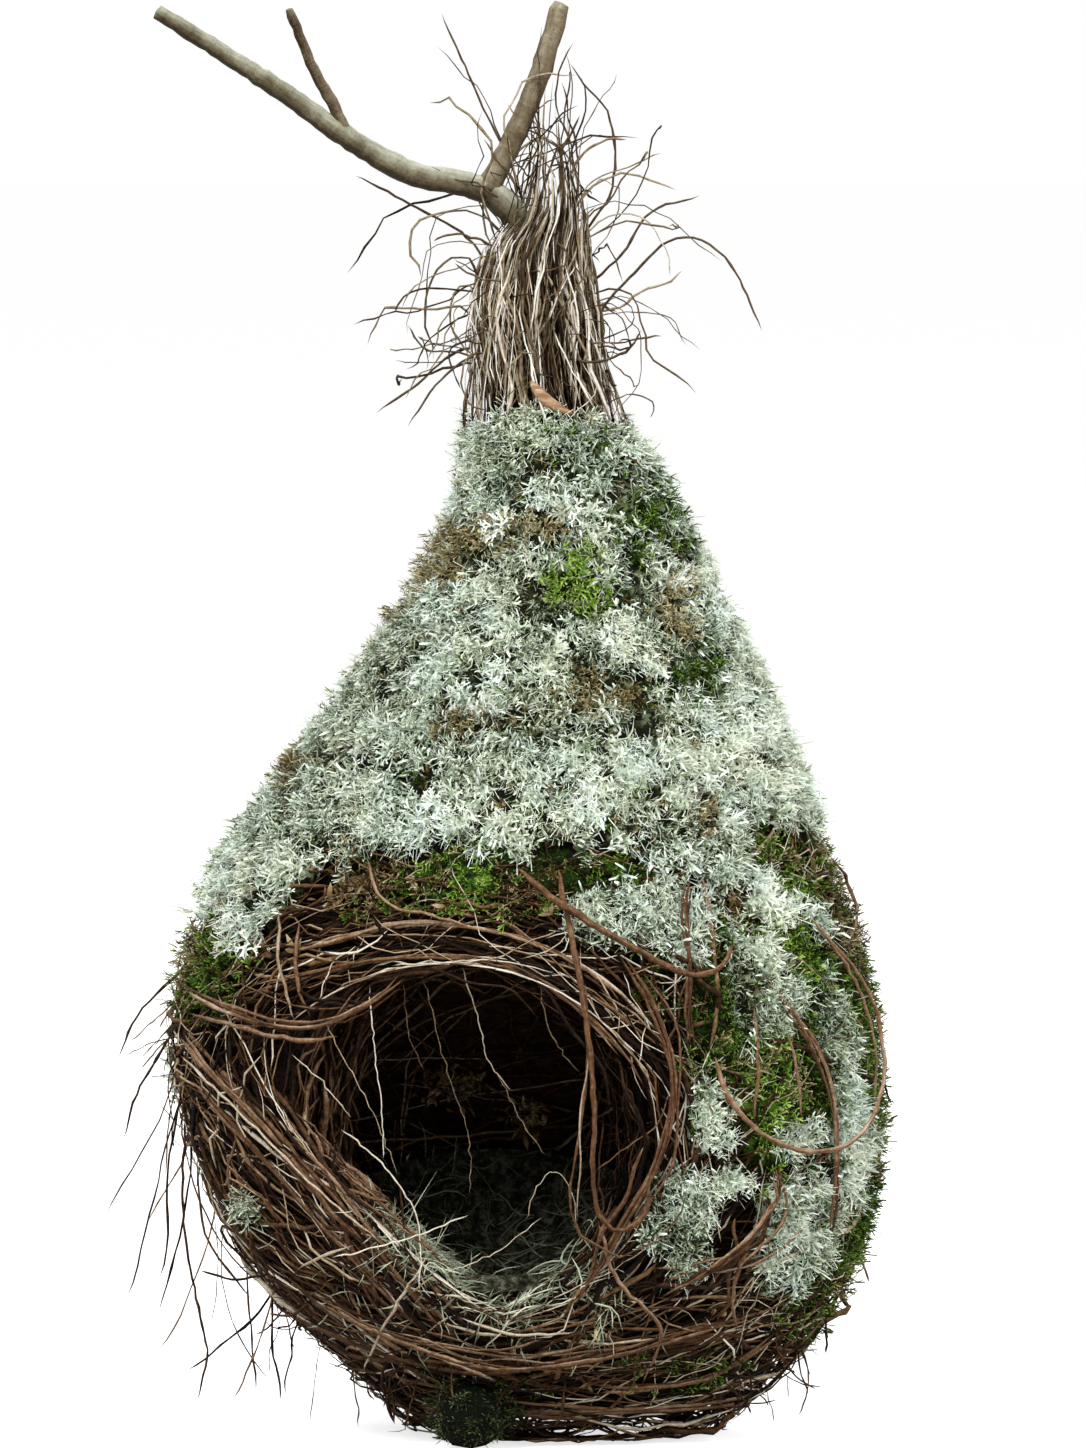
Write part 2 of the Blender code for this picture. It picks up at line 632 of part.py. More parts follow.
def welded_tube(name, route, radius):
    """A tube as a closed mesh, whose caps are welded to its side, so that it can cut or be cut."""
    guide = add_tube(name + "_guide", route, radius, "twig_bark", resolution=2)
    bpy.context.view_layer.update()
    graph = bpy.context.evaluated_depsgraph_get()
    mesh = bpy.data.meshes.new_from_object(guide.evaluated_get(graph))
    bpy.data.objects.remove(guide)
    shape = bmesh.new()
    shape.from_mesh(mesh)
    bpy.data.meshes.remove(mesh)
    bmesh.ops.remove_doubles(shape, verts=shape.verts, dist=1e-6)
    return mesh_from(shape, name)


# Small pieces


def make_bark_sliver():
    """A curled, pointed sliver of bark, lying slantwise on the front of the neck."""
    shape = bmesh.new()
    bmesh.ops.create_grid(shape, x_segments=8, y_segments=4, size=0.5)
    for vert in shape.verts:
        along, across = 2 * vert.co.x, vert.co.y
        width = SLIVER_WIDTH * (1 - 0.8 * along * along)
        curl = across * math.radians(150)
        vert.co = (
            SLIVER_LENGTH * vert.co.x,
            -0.5 * width * math.cos(curl),
            0.5 * width * math.sin(curl),
        )
    slant = Matrix.Rotation(math.radians(32), 4, "Y")
    bmesh.ops.transform(shape, matrix=Matrix.Translation(SLIVER_CENTRE) @ slant, verts=shape.verts)
    sliver = add_piece("bark_sliver", outward_mesh(shape, "bark_sliver"), "root_bark")
    solidify = sliver.modifiers.new("thickness", "SOLIDIFY")
    solidify.thickness = SLIVER_THICKNESS
    solidify.offset = 0


def make_tuft():
    """A ragged lump of moss and rootlets that trails from the foot to the ground."""
    shape = bmesh.new()
    bmesh.ops.create_icosphere(shape, subdivisions=2, radius=1)
    for vert in shape.verts:
        x, y, z = vert.co
        rough = 1 + 0.08 * math.sin(9 * x + 4 * z) * math.cos(8 * y - 3 * x)
        vert.co = Vector((x * TUFT_RADII.x, y * TUFT_RADII.y, z * TUFT_RADII.z)) * rough
    bmesh.ops.translate(shape, vec=TUFT_CENTRE, verts=shape.verts)
    for vert in shape.verts:
        vert.co.z = max(vert.co.z, GAP)
    tuft = add_piece("moss_tuft", mesh_from(shape, "moss_tuft"), "moss")
    foot = turned_solid(
        [(height, radius + 3 * GAP, lean) for height, radius, lean in WALL_STATIONS],
        WALL_RINGS,
        WALL_SEGMENTS,
    )
    cut(tuft, add_cutter("foot", mesh_from(foot, "foot")))


clear_scene()
make_wall()
make_lining()
make_cape()
for patch in LICHEN_PATCHES:
    make_patch(*patch, "lichen")
for patch in MOSS_PATCHES:
    make_patch(*patch, "moss")
make_wall_roots()
make_twig_clearance()
make_neck()
make_twig()
make_loose_roots()
make_bark_sliver()
make_tuft()
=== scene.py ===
"""An empty domed bird nest of roots, lichen and moss, with the cut twig that its neck is bound to."""

import math

import bmesh
import bpy
import numpy as np
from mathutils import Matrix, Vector, noise


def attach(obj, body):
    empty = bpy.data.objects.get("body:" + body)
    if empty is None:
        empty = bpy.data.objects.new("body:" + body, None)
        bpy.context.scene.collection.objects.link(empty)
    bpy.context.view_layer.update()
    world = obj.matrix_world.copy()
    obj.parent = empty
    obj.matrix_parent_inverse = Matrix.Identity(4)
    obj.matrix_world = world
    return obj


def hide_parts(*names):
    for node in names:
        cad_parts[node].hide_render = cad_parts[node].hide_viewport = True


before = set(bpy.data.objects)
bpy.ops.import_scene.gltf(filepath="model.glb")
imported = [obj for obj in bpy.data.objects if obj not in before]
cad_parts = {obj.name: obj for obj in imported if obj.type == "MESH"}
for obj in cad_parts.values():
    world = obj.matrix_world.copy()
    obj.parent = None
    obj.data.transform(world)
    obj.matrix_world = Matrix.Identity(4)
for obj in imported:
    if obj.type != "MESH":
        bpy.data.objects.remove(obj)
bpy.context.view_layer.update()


# The nest stands on a plain pale floor, in soft daylight from above and a little from the left. A
# long lens looks at it from the front, a few degrees above level.
PHOTO_PIXEL = 0.00024
VIEW_HEIGHT = 1448 * PHOTO_PIXEL
VIEW_DISTANCE = 4.0
VIEW_RISE = math.radians(3.0)
VIEW_CENTRE = Vector((0.0031, 0.0, 0.1705))
LIGHT_SIZE = 1.1
KEY_POWER = 51.0
SKY = 0.27
FLOOR_SIZE = 30.0

camera = bpy.data.objects.new("camera", bpy.data.cameras.new("camera"))
camera.data.sensor_fit = "VERTICAL"
camera.data.lens = camera.data.sensor_height * VIEW_DISTANCE / VIEW_HEIGHT
toward_camera = Vector((0, -math.cos(VIEW_RISE), math.sin(VIEW_RISE)))
camera.location = VIEW_CENTRE + VIEW_DISTANCE * toward_camera
camera.rotation_euler = toward_camera.to_track_quat("Z", "Y").to_euler()
bpy.context.scene.collection.objects.link(camera)
bpy.context.scene.camera = camera
bpy.context.scene.view_settings.view_transform = "Standard"

for light_name, place, share in (
    ("key_light", (-0.7, -1.6, 1.7), 1.0),
    ("fill_light", (1.6, -1.3, 1.1), 0.42),
    ("back_light", (0.5, 1.8, 1.5), 0.3),
):
    light = bpy.data.objects.new(light_name, bpy.data.lights.new(light_name, "AREA"))
    light.data.size = LIGHT_SIZE
    light.data.energy = KEY_POWER * share
    light.location = place
    light.rotation_euler = (Vector(place) - VIEW_CENTRE).to_track_quat("Z", "Y").to_euler()
    bpy.context.scene.collection.objects.link(light)


def node(tree, kind, inputs=None, **settings):
    """A shader node, with its settings, and its inputs linked or set."""
    made = tree.nodes.new(kind)
    for key, value in settings.items():
        setattr(made, key, value)
    for key, value in (inputs or {}).items():
        if isinstance(value, bpy.types.NodeSocket):
            tree.links.new(value, made.inputs[key])
        else:
            made.inputs[key].default_value = value
    return made


def remap(tree, value, low, high, to_low, to_high):
    """Carries a value from one range to another."""
    inputs = {"Value": value, "From Min": low, "From Max": high, "To Min": to_low, "To Max": to_high}
    return node(tree, "ShaderNodeMapRange", inputs).outputs["Result"]


def glow(tree, shader_input, unseen, seen):
    """Sets how strongly something shines, on what it lights and to the camera."""
    to_camera = node(tree, "ShaderNodeLightPath").outputs["Is Camera Ray"]
    tree.links.new(remap(tree, to_camera, 0.0, 1.0, unseen, seen), shader_input)


def closed_mesh(shape, name):
    """The mesh of a bmesh, which is freed."""
    mesh = bpy.data.meshes.new(name)
    shape.to_mesh(mesh)
    shape.free()
    return mesh


sky = bpy.data.worlds.new("sky")
sky.use_nodes = True
sky_light = sky.node_tree.nodes["Background"]
sky_light.inputs["Color"].default_value = (1, 1, 1, 1)
glow(sky.node_tree, sky_light.inputs["Strength"], SKY, 1.0)
bpy.context.scene.world = sky

shape = bmesh.new()
bmesh.ops.create_grid(shape, x_segments=1, y_segments=1, size=FLOOR_SIZE / 2)
floor = bpy.data.objects.new("floor", closed_mesh(shape, "floor"))
paper = bpy.data.materials.new("pale_paper")
paper.use_nodes = True
paper_shader = paper.node_tree.nodes["Principled BSDF"]
paper_shader.inputs["Base Color"].default_value = (0.92, 0.92, 0.91, 1)
paper_shader.inputs["Roughness"].default_value = 1.0
paper_shader.inputs["Specular IOR Level"].default_value = 0.0
paper_shader.inputs["Emission Color"].default_value = (1, 1, 1, 1)
glow(paper.node_tree, paper_shader.inputs["Emission Strength"], 0.05, 0.74)
floor.data.materials.append(paper)
bpy.context.scene.collection.objects.link(floor)


# The woven wall: thousands of roots, stems and strips of bark, matted to one thick shell. What is seen
# between the outer strands is the mat inside it, sunk a few millimetres, and less behind. Its near-black
# colour is painted shade for the gaps, darkest at the front.
WALL_STATIONS = np.array((  # height, radius, lean towards +X
    (0.0, 0.033, 0.009),
    (0.01, 0.044, 0.009),
    (0.034, 0.066, 0.006),
    (0.062, 0.0785, 0.002),
    (0.092, 0.0825, -0.002),
    (0.118, 0.078, -0.002),
    (0.142, 0.067, 0.0),
    (0.178, 0.046, 0.006),
    (0.216, 0.025, 0.009),
    (0.246, 0.015, 0.005),
))
DEPTH_SHARE = 0.93
MAT_VOXEL = 0.005
MAT_MIDDLE = np.array((0.0, 0.0, 0.09), np.float32)
MAT_SUNK = 0.0062
MAT_SHALLOWER_BEHIND = 0.0034
MAT_ROUGH = 0.0016


def ramp(tree, factor, *stops):
    """A colour that runs through the stops, each a position and a colour."""
    made = node(tree, "ShaderNodeValToRGB", {"Fac": factor})
    elements = made.color_ramp.elements
    elements.remove(elements[1])
    elements[0].position, elements[0].color = stops[0][0], (*stops[0][1], 1)
    for place, colour in stops[1:]:
        elements.new(place).color = (*colour, 1)
    return made.outputs["Color"]


def paint(tree, shader, factor, *stops):
    """Gives a shader the colour of a ramp."""
    tree.links.new(ramp(tree, factor, *stops), shader.inputs["Base Color"])


def stretched(tree, vector, scale, turn=(0, 0, 0)):
    """Coordinates scaled by its own amount each way, which stretches a pattern on them."""
    inputs = {"Vector": vector, "Scale": scale, "Rotation": turn}
    return node(tree, "ShaderNodeMapping", inputs).outputs[0]


def grain(tree, vector, scale, detail=3.0, roughness=0.6):
    """A noise pattern, from 0 to 1."""
    inputs = {"Vector": vector, "Scale": scale, "Detail": detail, "Roughness": roughness}
    return node(tree, "ShaderNodeTexNoise", inputs).outputs["Fac"]


def reckon(tree, operation, *values):
    """The outcome of a sum on values."""
    return node(tree, "ShaderNodeMath", dict(enumerate(values)), operation=operation).outputs[0]


def weigh(tree, value, share, base):
    """base + share * (value - 0.5)"""
    return reckon(tree, "MULTIPLY_ADD", reckon(tree, "SUBTRACT", value, 0.5), share, base)


def raise_by(tree, shader, height, distance, strength=1.0):
    """Bump on a shader."""
    inputs = {"Height": height, "Distance": distance, "Strength": strength}
    bump = node(tree, "ShaderNodeBump", inputs).outputs["Normal"]
    tree.links.new(bump, shader.inputs["Normal"])


def new_finish(name, roughness):
    """A material, its node tree, its shader and its object coordinates."""
    made = bpy.data.materials.new(name)
    made.use_nodes = True
    tree = made.node_tree
    shader = tree.nodes["Principled BSDF"]
    shader.inputs["Roughness"].default_value = roughness
    shader.inputs["Specular IOR Level"].default_value = 0.1
    return made, tree, shader, node(tree, "ShaderNodeTexCoord").outputs["Object"]


# painted shade: the mat is coloured near-black, paler towards the back, so the gaps between strands read as
# deep shade
shaded_root_mat, tree, shader, at = new_finish("root_mat_painted_shade", 0.95)
fibres = grain(tree, stretched(tree, at, (1.0, 1.0, 4.0)), 260.0, 4.0, 0.7)
depth = node(tree, "ShaderNodeSeparateXYZ", {0: at}).outputs["Y"]
shade = reckon(tree, "ADD", fibres, remap(tree, depth, -0.02, 0.03, 0.0, 0.13))
paint(tree, shader, shade, (0.3, (0.006, 0.003, 0.002)), (0.52, (0.022, 0.012, 0.007)),
      (0.72, (0.065, 0.034, 0.018)), (0.9, (0.16, 0.092, 0.048)))
raise_by(tree, shader, fibres, 0.002)


def wall_section(height):
    """Radius and lean of the wall at each height, on a smooth curve through its stations."""
    heights, radii, leans = WALL_STATIONS.T
    height = np.clip(height, heights[0], heights[-1])
    i = np.clip(np.searchsorted(heights, height, side="right"), 1, len(heights) - 1)
    step = heights[i] - heights[i - 1]
    t = (height - heights[i - 1]) / step
    start, end = (1 + 2 * t) * (1 - t) ** 2, t * t * (3 - 2 * t)
    leave, arrive = t * (1 - t) ** 2 * step, t * t * (t - 1) * step
    return [
        start * values[i - 1] + end * values[i] + leave * slopes[i - 1] + arrive * slopes[i]
        for values, slopes in ((v, np.gradient(v, heights)) for v in (radii, leans))
    ]


def wall_slope(height):
    return (wall_section(height + 0.0005)[0] - wall_section(height - 0.0005)[0]) / 0.001


def wall_points(angle, height, lift):
    """Points off the wall by lift, square to its slope. -pi/2 is the front, and 0 is +X."""
    radius, lean = wall_section(height)
    reach = radius + lift * np.hypot(1, wall_slope(height))
    across, depth = lean + reach * np.cos(angle), DEPTH_SHARE * reach * np.sin(angle)
    return np.stack(np.broadcast_arrays(across, depth, height), axis=-1)


def front_angle(x, height):
    """The angle of the point on the front of the wall that is seen at this x."""
    radius, lean = wall_section(height)
    return -np.arccos(np.clip((x - lean) / radius, -0.999, 0.999))


def front_points(x, height, lift):
    """Points off the front of the wall, as they are seen at this x and height."""
    return wall_points(front_angle(x, height), height, lift)


def unit(vectors):
    """The same directions at length 1."""
    return vectors / np.linalg.norm(vectors, axis=-1, keepdims=True)


def mesh_arrays(mesh):
    """A mesh's points and normals."""
    places = np.empty(len(mesh.vertices) * 3, np.float32)
    normals = np.empty(len(mesh.vertices) * 3, np.float32)
    mesh.vertices.foreach_get("co", places)
    mesh.vertex_normals.foreach_get("vector", normals)
    return places.reshape(-1, 3), normals.reshape(-1, 3)


def shown_mesh(piece):
    """An object's mesh with its modifiers, or its curve's bevel, applied."""
    bpy.context.view_layer.update()
    graph = bpy.context.evaluated_depsgraph_get()
    return bpy.data.meshes.new_from_object(piece.evaluated_get(graph))


def add_piece(name, mesh, finish, slot, *nodes):
    """A finished piece that moves with the nest, and stands for the named solids."""
    mesh.name = name
    mesh.shade_smooth()
    mesh.materials.clear()
    mesh.materials.append(finish)
    piece = bpy.data.objects.new(name, mesh)
    bpy.context.scene.collection.objects.link(piece)
    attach(piece, "root")
    if nodes:
        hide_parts(*nodes)
    return piece


wall_copy = bpy.data.objects.new("wall_copy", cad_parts["woven_wall"].data.copy())
bpy.context.scene.collection.objects.link(wall_copy)
weld = wall_copy.modifiers.new("weld", "WELD")
weld.merge_threshold = 0.00001
remesh = wall_copy.modifiers.new("even", "REMESH")
remesh.mode = "VOXEL"
remesh.voxel_size = MAT_VOXEL
mat_mesh = shown_mesh(wall_copy)
bpy.data.objects.remove(wall_copy)
places, normals = mesh_arrays(mat_mesh)
lumps = np.array([noise.noise(Vector(p) * 170) for p in places.astype(float)])
outside = np.sum(normals * (places - MAT_MIDDLE), axis=1) > 0
behind = np.clip((places[:, 1] + 0.01) / 0.03, 0, 1) * outside
sunk = MAT_SUNK - MAT_SHALLOWER_BEHIND * behind + MAT_ROUGH * lumps
places -= normals * sunk[:, None].astype(np.float32)
mat_mesh.vertices.foreach_set("co", places.ravel())
add_piece("woven_wall_mat", mat_mesh, shaded_root_mat, "woven_roots", "woven_wall")


# The strands of the weave: roots and stems a third of a millimetre to two millimetres thick. The
# bird laid them in rings round the entrance, slanting at the lower left, and in hoops elsewhere.
MOUTH_CENTRE = np.array((-0.019, 0.074))
MOUTH_HALF = np.array((0.047, 0.042))
LIP_POINT = np.array((-0.069, 0.0913))
LIP_NORMAL = np.array((0.715, 0.699))
LIP_ROUND = 0.012
WEAVE_TOP = 0.146
STRAND_POINTS = 12
STRAND_LENGTHS = (0.026, 0.09)
STRAND_KINDS = (  # share, least and greatest radius
    (0.5, 0.00013, 0.00026),
    (0.35, 0.00026, 0.00043),
    (0.15, 0.00043, 0.00072),
)


def past_lip(x, z):
    """How far inside the mouth's straight edge at the lower left a point is."""
    return (x - LIP_POINT[0]) * LIP_NORMAL[0] + (z - LIP_POINT[1]) * LIP_NORMAL[1]


def mouth_distance(x, z):
    """How far outside the mouth's edge a point on the front is, less than 0 inside it."""
    round_edge = np.hypot((x - MOUTH_CENTRE[0]) / MOUTH_HALF[0], (z - MOUTH_CENTRE[1]) / MOUTH_HALF[1])
    ring = (round_edge - 1) * MOUTH_HALF.mean()
    lip = -past_lip(x, z)
    return 0.5 * (ring + lip + np.sqrt((ring - lip) ** 2 + LIP_ROUND**2)) - 0.5 * LIP_ROUND * 0.4


def mouth_outward(x, z):
    """The direction in which the distance from the mouth grows, as (x, z)."""
    step = 0.0005
    grow_x = mouth_distance(x + step, z) - mouth_distance(x - step, z)
    grow_z = mouth_distance(x, z + step) - mouth_distance(x, z - step)
    size = np.maximum(np.hypot(grow_x, grow_z), 1e-9)
    return grow_x / size, grow_z / size


def weave_heading(angle, height):
    """The way that strands run on the wall, as an angle from level, and how firmly they keep it."""
    radius, lean = wall_section(height)
    x = lean + radius * np.cos(angle)
    front = np.clip(-np.sin(angle) * 1.6, 0, 1)
    away = mouth_distance(x, height)
    out_x, out_z = mouth_outward(x, height)
    ring = np.arctan2(out_x, -out_z)
    near = front * np.exp(-np.maximum(away, 0) / 0.02)
    lower_left = front * np.clip(-x / 0.04, 0, 1) * np.clip((0.085 - height) / 0.03, 0, 1)
    hoop = -0.75 * lower_left + 0.25 * front * np.clip((x - 0.01) / 0.05, 0, 1)
    east = near * np.cos(2 * ring) + (1 - near) * np.cos(2 * hoop)
    north = near * np.sin(2 * ring) + (1 - near) * np.sin(2 * hoop)
    return 0.5 * np.arctan2(north, east), 0.16 + 0.35 * near


def half_turn(angle):
    """An angle brought between -pi/2 and pi/2 by half turns."""
    return (angle + math.pi / 2) % math.pi - math.pi / 2


def keep_out_of_mouth(angle, height, margin):
    """Moves points that lie over the mouth to its edge."""
    for _ in range(2):
        radius, lean = wall_section(height)
        x = lean + radius * np.cos(angle)
        away = mouth_distance(x, height)
        out_x, out_z = mouth_outward(x, height)
        short = np.where(np.sin(angle) < -0.15, np.maximum(margin - away, 0), 0)
        height = height + out_z * short
        moved = short > 0
        angle = np.where(moved, front_angle(x + out_x * short, height), angle)
    return angle, height


def run_strands(rng, angle, height, heading, length, wander, margin, points=STRAND_POINTS):
    """Courses of strands over the wall, as angles and heights, one row for each strand."""
    courses = []
    obedient = np.where(rng.random(len(angle)) < 0.62, 1.0, 0.12)
    step = length / (points - 1)
    for _ in range(points):
        angle, height = keep_out_of_mouth(angle, height, margin)
        height = np.clip(height, 0.0015, 0.235)
        courses.append((angle, height))
        wanted, firmness = weave_heading(angle, height)
        heading = heading + obedient * firmness * half_turn(wanted - heading)
        heading = heading + rng.normal(0, wander, heading.shape)
        radius = wall_section(height)[0]
        angle = angle + step * np.cos(heading) / radius
        height = height + step * np.sin(heading) / np.hypot(1, wall_slope(height))
    angles, heights = np.array(courses).transpose(1, 2, 0)
    return angles, heights


def wavy(rng, count, points, size, waves=2.5):
    """A slow wave along each strand, with its own phase and length."""
    t = np.linspace(0, 1, points)
    turns = rng.uniform(0.5, waves, (count, 1))
    return size * np.sin(2 * math.pi * (turns * t + rng.uniform(0, 1, (count, 1))))


def strand_radii(rng, count, points, kinds=STRAND_KINDS):
    """The radius of each strand along its length, uneven, and thin at its tips."""
    shares = np.array([kind[0] for kind in kinds])
    pick = rng.choice(len(kinds), count, p=shares / shares.sum())
    low, high = np.array(kinds)[pick, 1:].T
    t = np.linspace(0, 1, points)
    ends = np.minimum(1, np.minimum(t, 1 - t) * 9) ** 0.6
    uneven = 1 + 0.16 * rng.normal(size=(count, points))
    return rng.uniform(low, high)[:, None] * np.clip(uneven, 0.6, 1.5) * ends


def add_strands(name, routes, radii, tones, finish, slot, *nodes, resolution=0):
    """Round strands as one piece. Each has a tone, and closes to a point at both ends."""
    curve = bpy.data.curves.new(name, "CURVE")
    curve.dimensions = "3D"
    curve.bevel_depth = 1.0
    curve.bevel_resolution = resolution
    for route, radius in zip(routes, radii):
        spline = curve.splines.new("POLY")
        spline.points.add(len(route) - 1)
        spline.points.foreach_set("co", np.insert(route, 3, 1, axis=1).ravel())
        spline.points.foreach_set("radius", radius)
    guide = bpy.data.objects.new(name, curve)
    bpy.context.scene.collection.objects.link(guide)
    mesh = shown_mesh(guide)
    bpy.data.objects.remove(guide)
    sides = 4 + 2 * resolution
    each = np.repeat(tones, [sides * len(route) for route in routes])
    mesh.attributes.new("tone", "FLOAT", "POINT").data.foreach_set("value", each.astype(np.float32))
    shape = bmesh.new()
    shape.from_mesh(mesh)
    bmesh.ops.remove_doubles(shape, verts=shape.verts, dist=2e-6)
    shape.to_mesh(mesh)
    shape.free()
    add_piece(name, mesh, finish, slot, *nodes)


def carried(tree, name):
    """A value that the mesh carries on its points."""
    return node(tree, "ShaderNodeAttribute", attribute_name=name).outputs["Fac"]


def bark_grain(tree, along, across, detail, roughness=0.6):
    """A noise pattern that follows a strand, so many grains along it and round it."""
    uv = node(tree, "ShaderNodeTexCoord").outputs["UV"]
    return grain(tree, stretched(tree, uv, (along, across, 1.0)), 1.0, detail, roughness)


def top_light_and_bleach(tree, share, base):
    """Adds to base where a surface faces up, and takes from it below: mostly painted top light and
    underside shade, partly the bleaching of sun and rain on upper sides.
    """
    normal = node(tree, "ShaderNodeNewGeometry").outputs["Normal"]
    upward = node(tree, "ShaderNodeSeparateXYZ", {0: normal}).outputs["Z"]
    return reckon(tree, "MULTIPLY_ADD", upward, share, base)


def strand_finish(name, stops, roughness=0.7):
    """Bark of roots and stems. Each strand's tone picks its colour, streaked and flecked, and painted paler
    where it faces up and darker below, as top light and shade.
    """
    finish, tree, shader, at = new_finish(name, roughness)
    tone = top_light_and_bleach(tree, 0.12, carried(tree, "tone"))
    streaked = weigh(tree, bark_grain(tree, 26.0, 4.0, 3.0), 0.34, tone)
    flecked = weigh(tree, grain(tree, at, 520.0, 3.0), 0.4, streaked)
    paint(tree, shader, flecked, *stops)
    raise_by(tree, shader, grain(tree, at, 1900.0, 2.0), 0.0004, 0.7)
    return finish


WOVEN_STOPS = (
    (0.05, (0.004, 0.002, 0.001)),
    (0.26, (0.02, 0.009, 0.004)),
    (0.44, (0.088, 0.04, 0.015)),
    (0.6, (0.215, 0.118, 0.052)),
    (0.76, (0.44, 0.345, 0.215)),
    (1.0, (0.82, 0.76, 0.63)),
)
woven_finish = strand_finish("woven_strands", WOVEN_STOPS)


def add_weave(name, rng, count, arc, low, high, lift_low, lift_high, bulge=0.0):
    """One share of the weave: strands that start within an arc of the wall, and may bulge off it."""
    angle = rng.uniform(math.radians(arc[0]), math.radians(arc[1]), count)
    height = rng.uniform(low, high, count)
    heading = weave_heading(angle, height)[0] + rng.normal(0, 0.5, count)
    heading += math.pi * rng.integers(0, 2, count)
    length = rng.uniform(*STRAND_LENGTHS, count)
    margin = rng.uniform(0.0, 0.007, count)
    angles, heights = run_strands(rng, angle, height, heading, length, 0.23, margin)
    lift = rng.uniform(lift_low, lift_high, (count, 1)) + wavy(rng, count, STRAND_POINTS, 0.0009)
    lift = lift + bulge * rng.uniform(0.3, 1, (count, 1)) * np.sin(np.linspace(0, math.pi, STRAND_POINTS))
    routes = wall_points(angles, heights, lift)
    routes += rng.normal(0, 0.00033, routes.shape)
    radii = strand_radii(rng, count, STRAND_POINTS)
    routes[..., 2] = np.maximum(routes[..., 2], radii + 0.0003)
    # painted shade: strands lying deeper in the weave are darker, those raised off it paler
    raised_lit_share = np.clip((lift.mean(axis=1) + 0.005) / 0.0064, 0, 1) ** 2.0
    pale = rng.random(count) < 0.2
    tones = 0.02 + 0.34 * raised_lit_share + 0.38 * pale * raised_lit_share + rng.normal(0, 0.13, count)
    # painted shade: strands round the entrance are darker, and some are left out, so deep shade shows there
    centre = routes[:, STRAND_POINTS // 2]
    from_mouth = np.maximum(mouth_distance(centre[:, 0], centre[:, 2]), 0)
    near_mouth_shade = np.exp(-from_mouth / 0.01) * (centre[:, 1] < 0)
    tones -= 0.2 * near_mouth_shade + 650 * np.maximum(radii.mean(axis=1) - 0.0003, 0)
    kept = rng.random(count) > 0.8 * near_mouth_shade * (centre[:, 2] > 0.085)
    tones = np.clip(tones, 0.02, 0.98)
    add_strands(name, routes[kept], radii[kept], tones[kept], woven_finish, "woven_roots")


rng = np.random.default_rng(11)
add_weave("weave_front_deep", rng, 520, (-185, 5), 0.004, WEAVE_TOP, -0.0056, -0.0016)
add_weave("weave_front", rng, 1240, (-185, 5), 0.004, WEAVE_TOP - 0.008, -0.0024, 0.002)
add_weave("weave_back", rng, 760, (5, 175), 0.004, WEAVE_TOP - 0.008, -0.0028, 0.002)
add_weave("weave_loops_left", rng, 46, (-188, -128), 0.01, 0.07, -0.0026, -0.0004, 0.0066)
add_weave("weave_loops_right", rng, 30, (-52, 4), 0.006, 0.046, -0.0026, -0.0004, 0.0066)


# Fine pale rootlets lie over the weave in loose curves, and their ends stand off it.
WISP_POINTS = 8
WISPS = 620


def add_wisps(name, rng, count, arc, low, high, length, spring, tone, kinds):
    """Hair-thin rootlets on the wall, whose ends spring away from it."""
    angle = rng.uniform(math.radians(arc[0]), math.radians(arc[1]), count)
    height = rng.uniform(low, high, count)
    heading = rng.uniform(0, 2 * math.pi, count)
    reach = length * rng.uniform(0.35, 1.0, count)
    angles, heights = run_strands(rng, angle, height, heading, reach, 0.3, np.zeros(count), WISP_POINTS)
    t = np.linspace(0, 1, WISP_POINTS)
    away = spring * np.minimum(np.abs(rng.normal(0, 1, (count, 1))), 1.4) * t**2.2
    lift = rng.uniform(0.0004, 0.0022, (count, 1)) + wavy(rng, count, WISP_POINTS, 0.0006) + away
    routes = wall_points(angles, heights, lift)
    radii = strand_radii(rng, count, WISP_POINTS, kinds)
    routes[..., 2] = np.maximum(routes[..., 2], radii + 0.0004)
    tones = np.clip(rng.normal(tone, 0.13, count), 0.05, 1.0)
    add_strands(name, routes, radii, tones, woven_finish, "woven_roots")


rng = np.random.default_rng(17)
add_wisps("pale_rootlets", rng, WISPS, (-180, 180), 0.003, 0.14, 0.045, 0.0012, 0.86,
          ((0.75, 0.0001, 0.00018), (0.25, 0.00018, 0.00028)))
add_wisps("springing_hairs", rng, WISPS * 3 // 4, (-180, 180), 0.003, 0.142, 0.022, 0.0042, 0.36,
          ((1.0, 0.00009, 0.00016),))


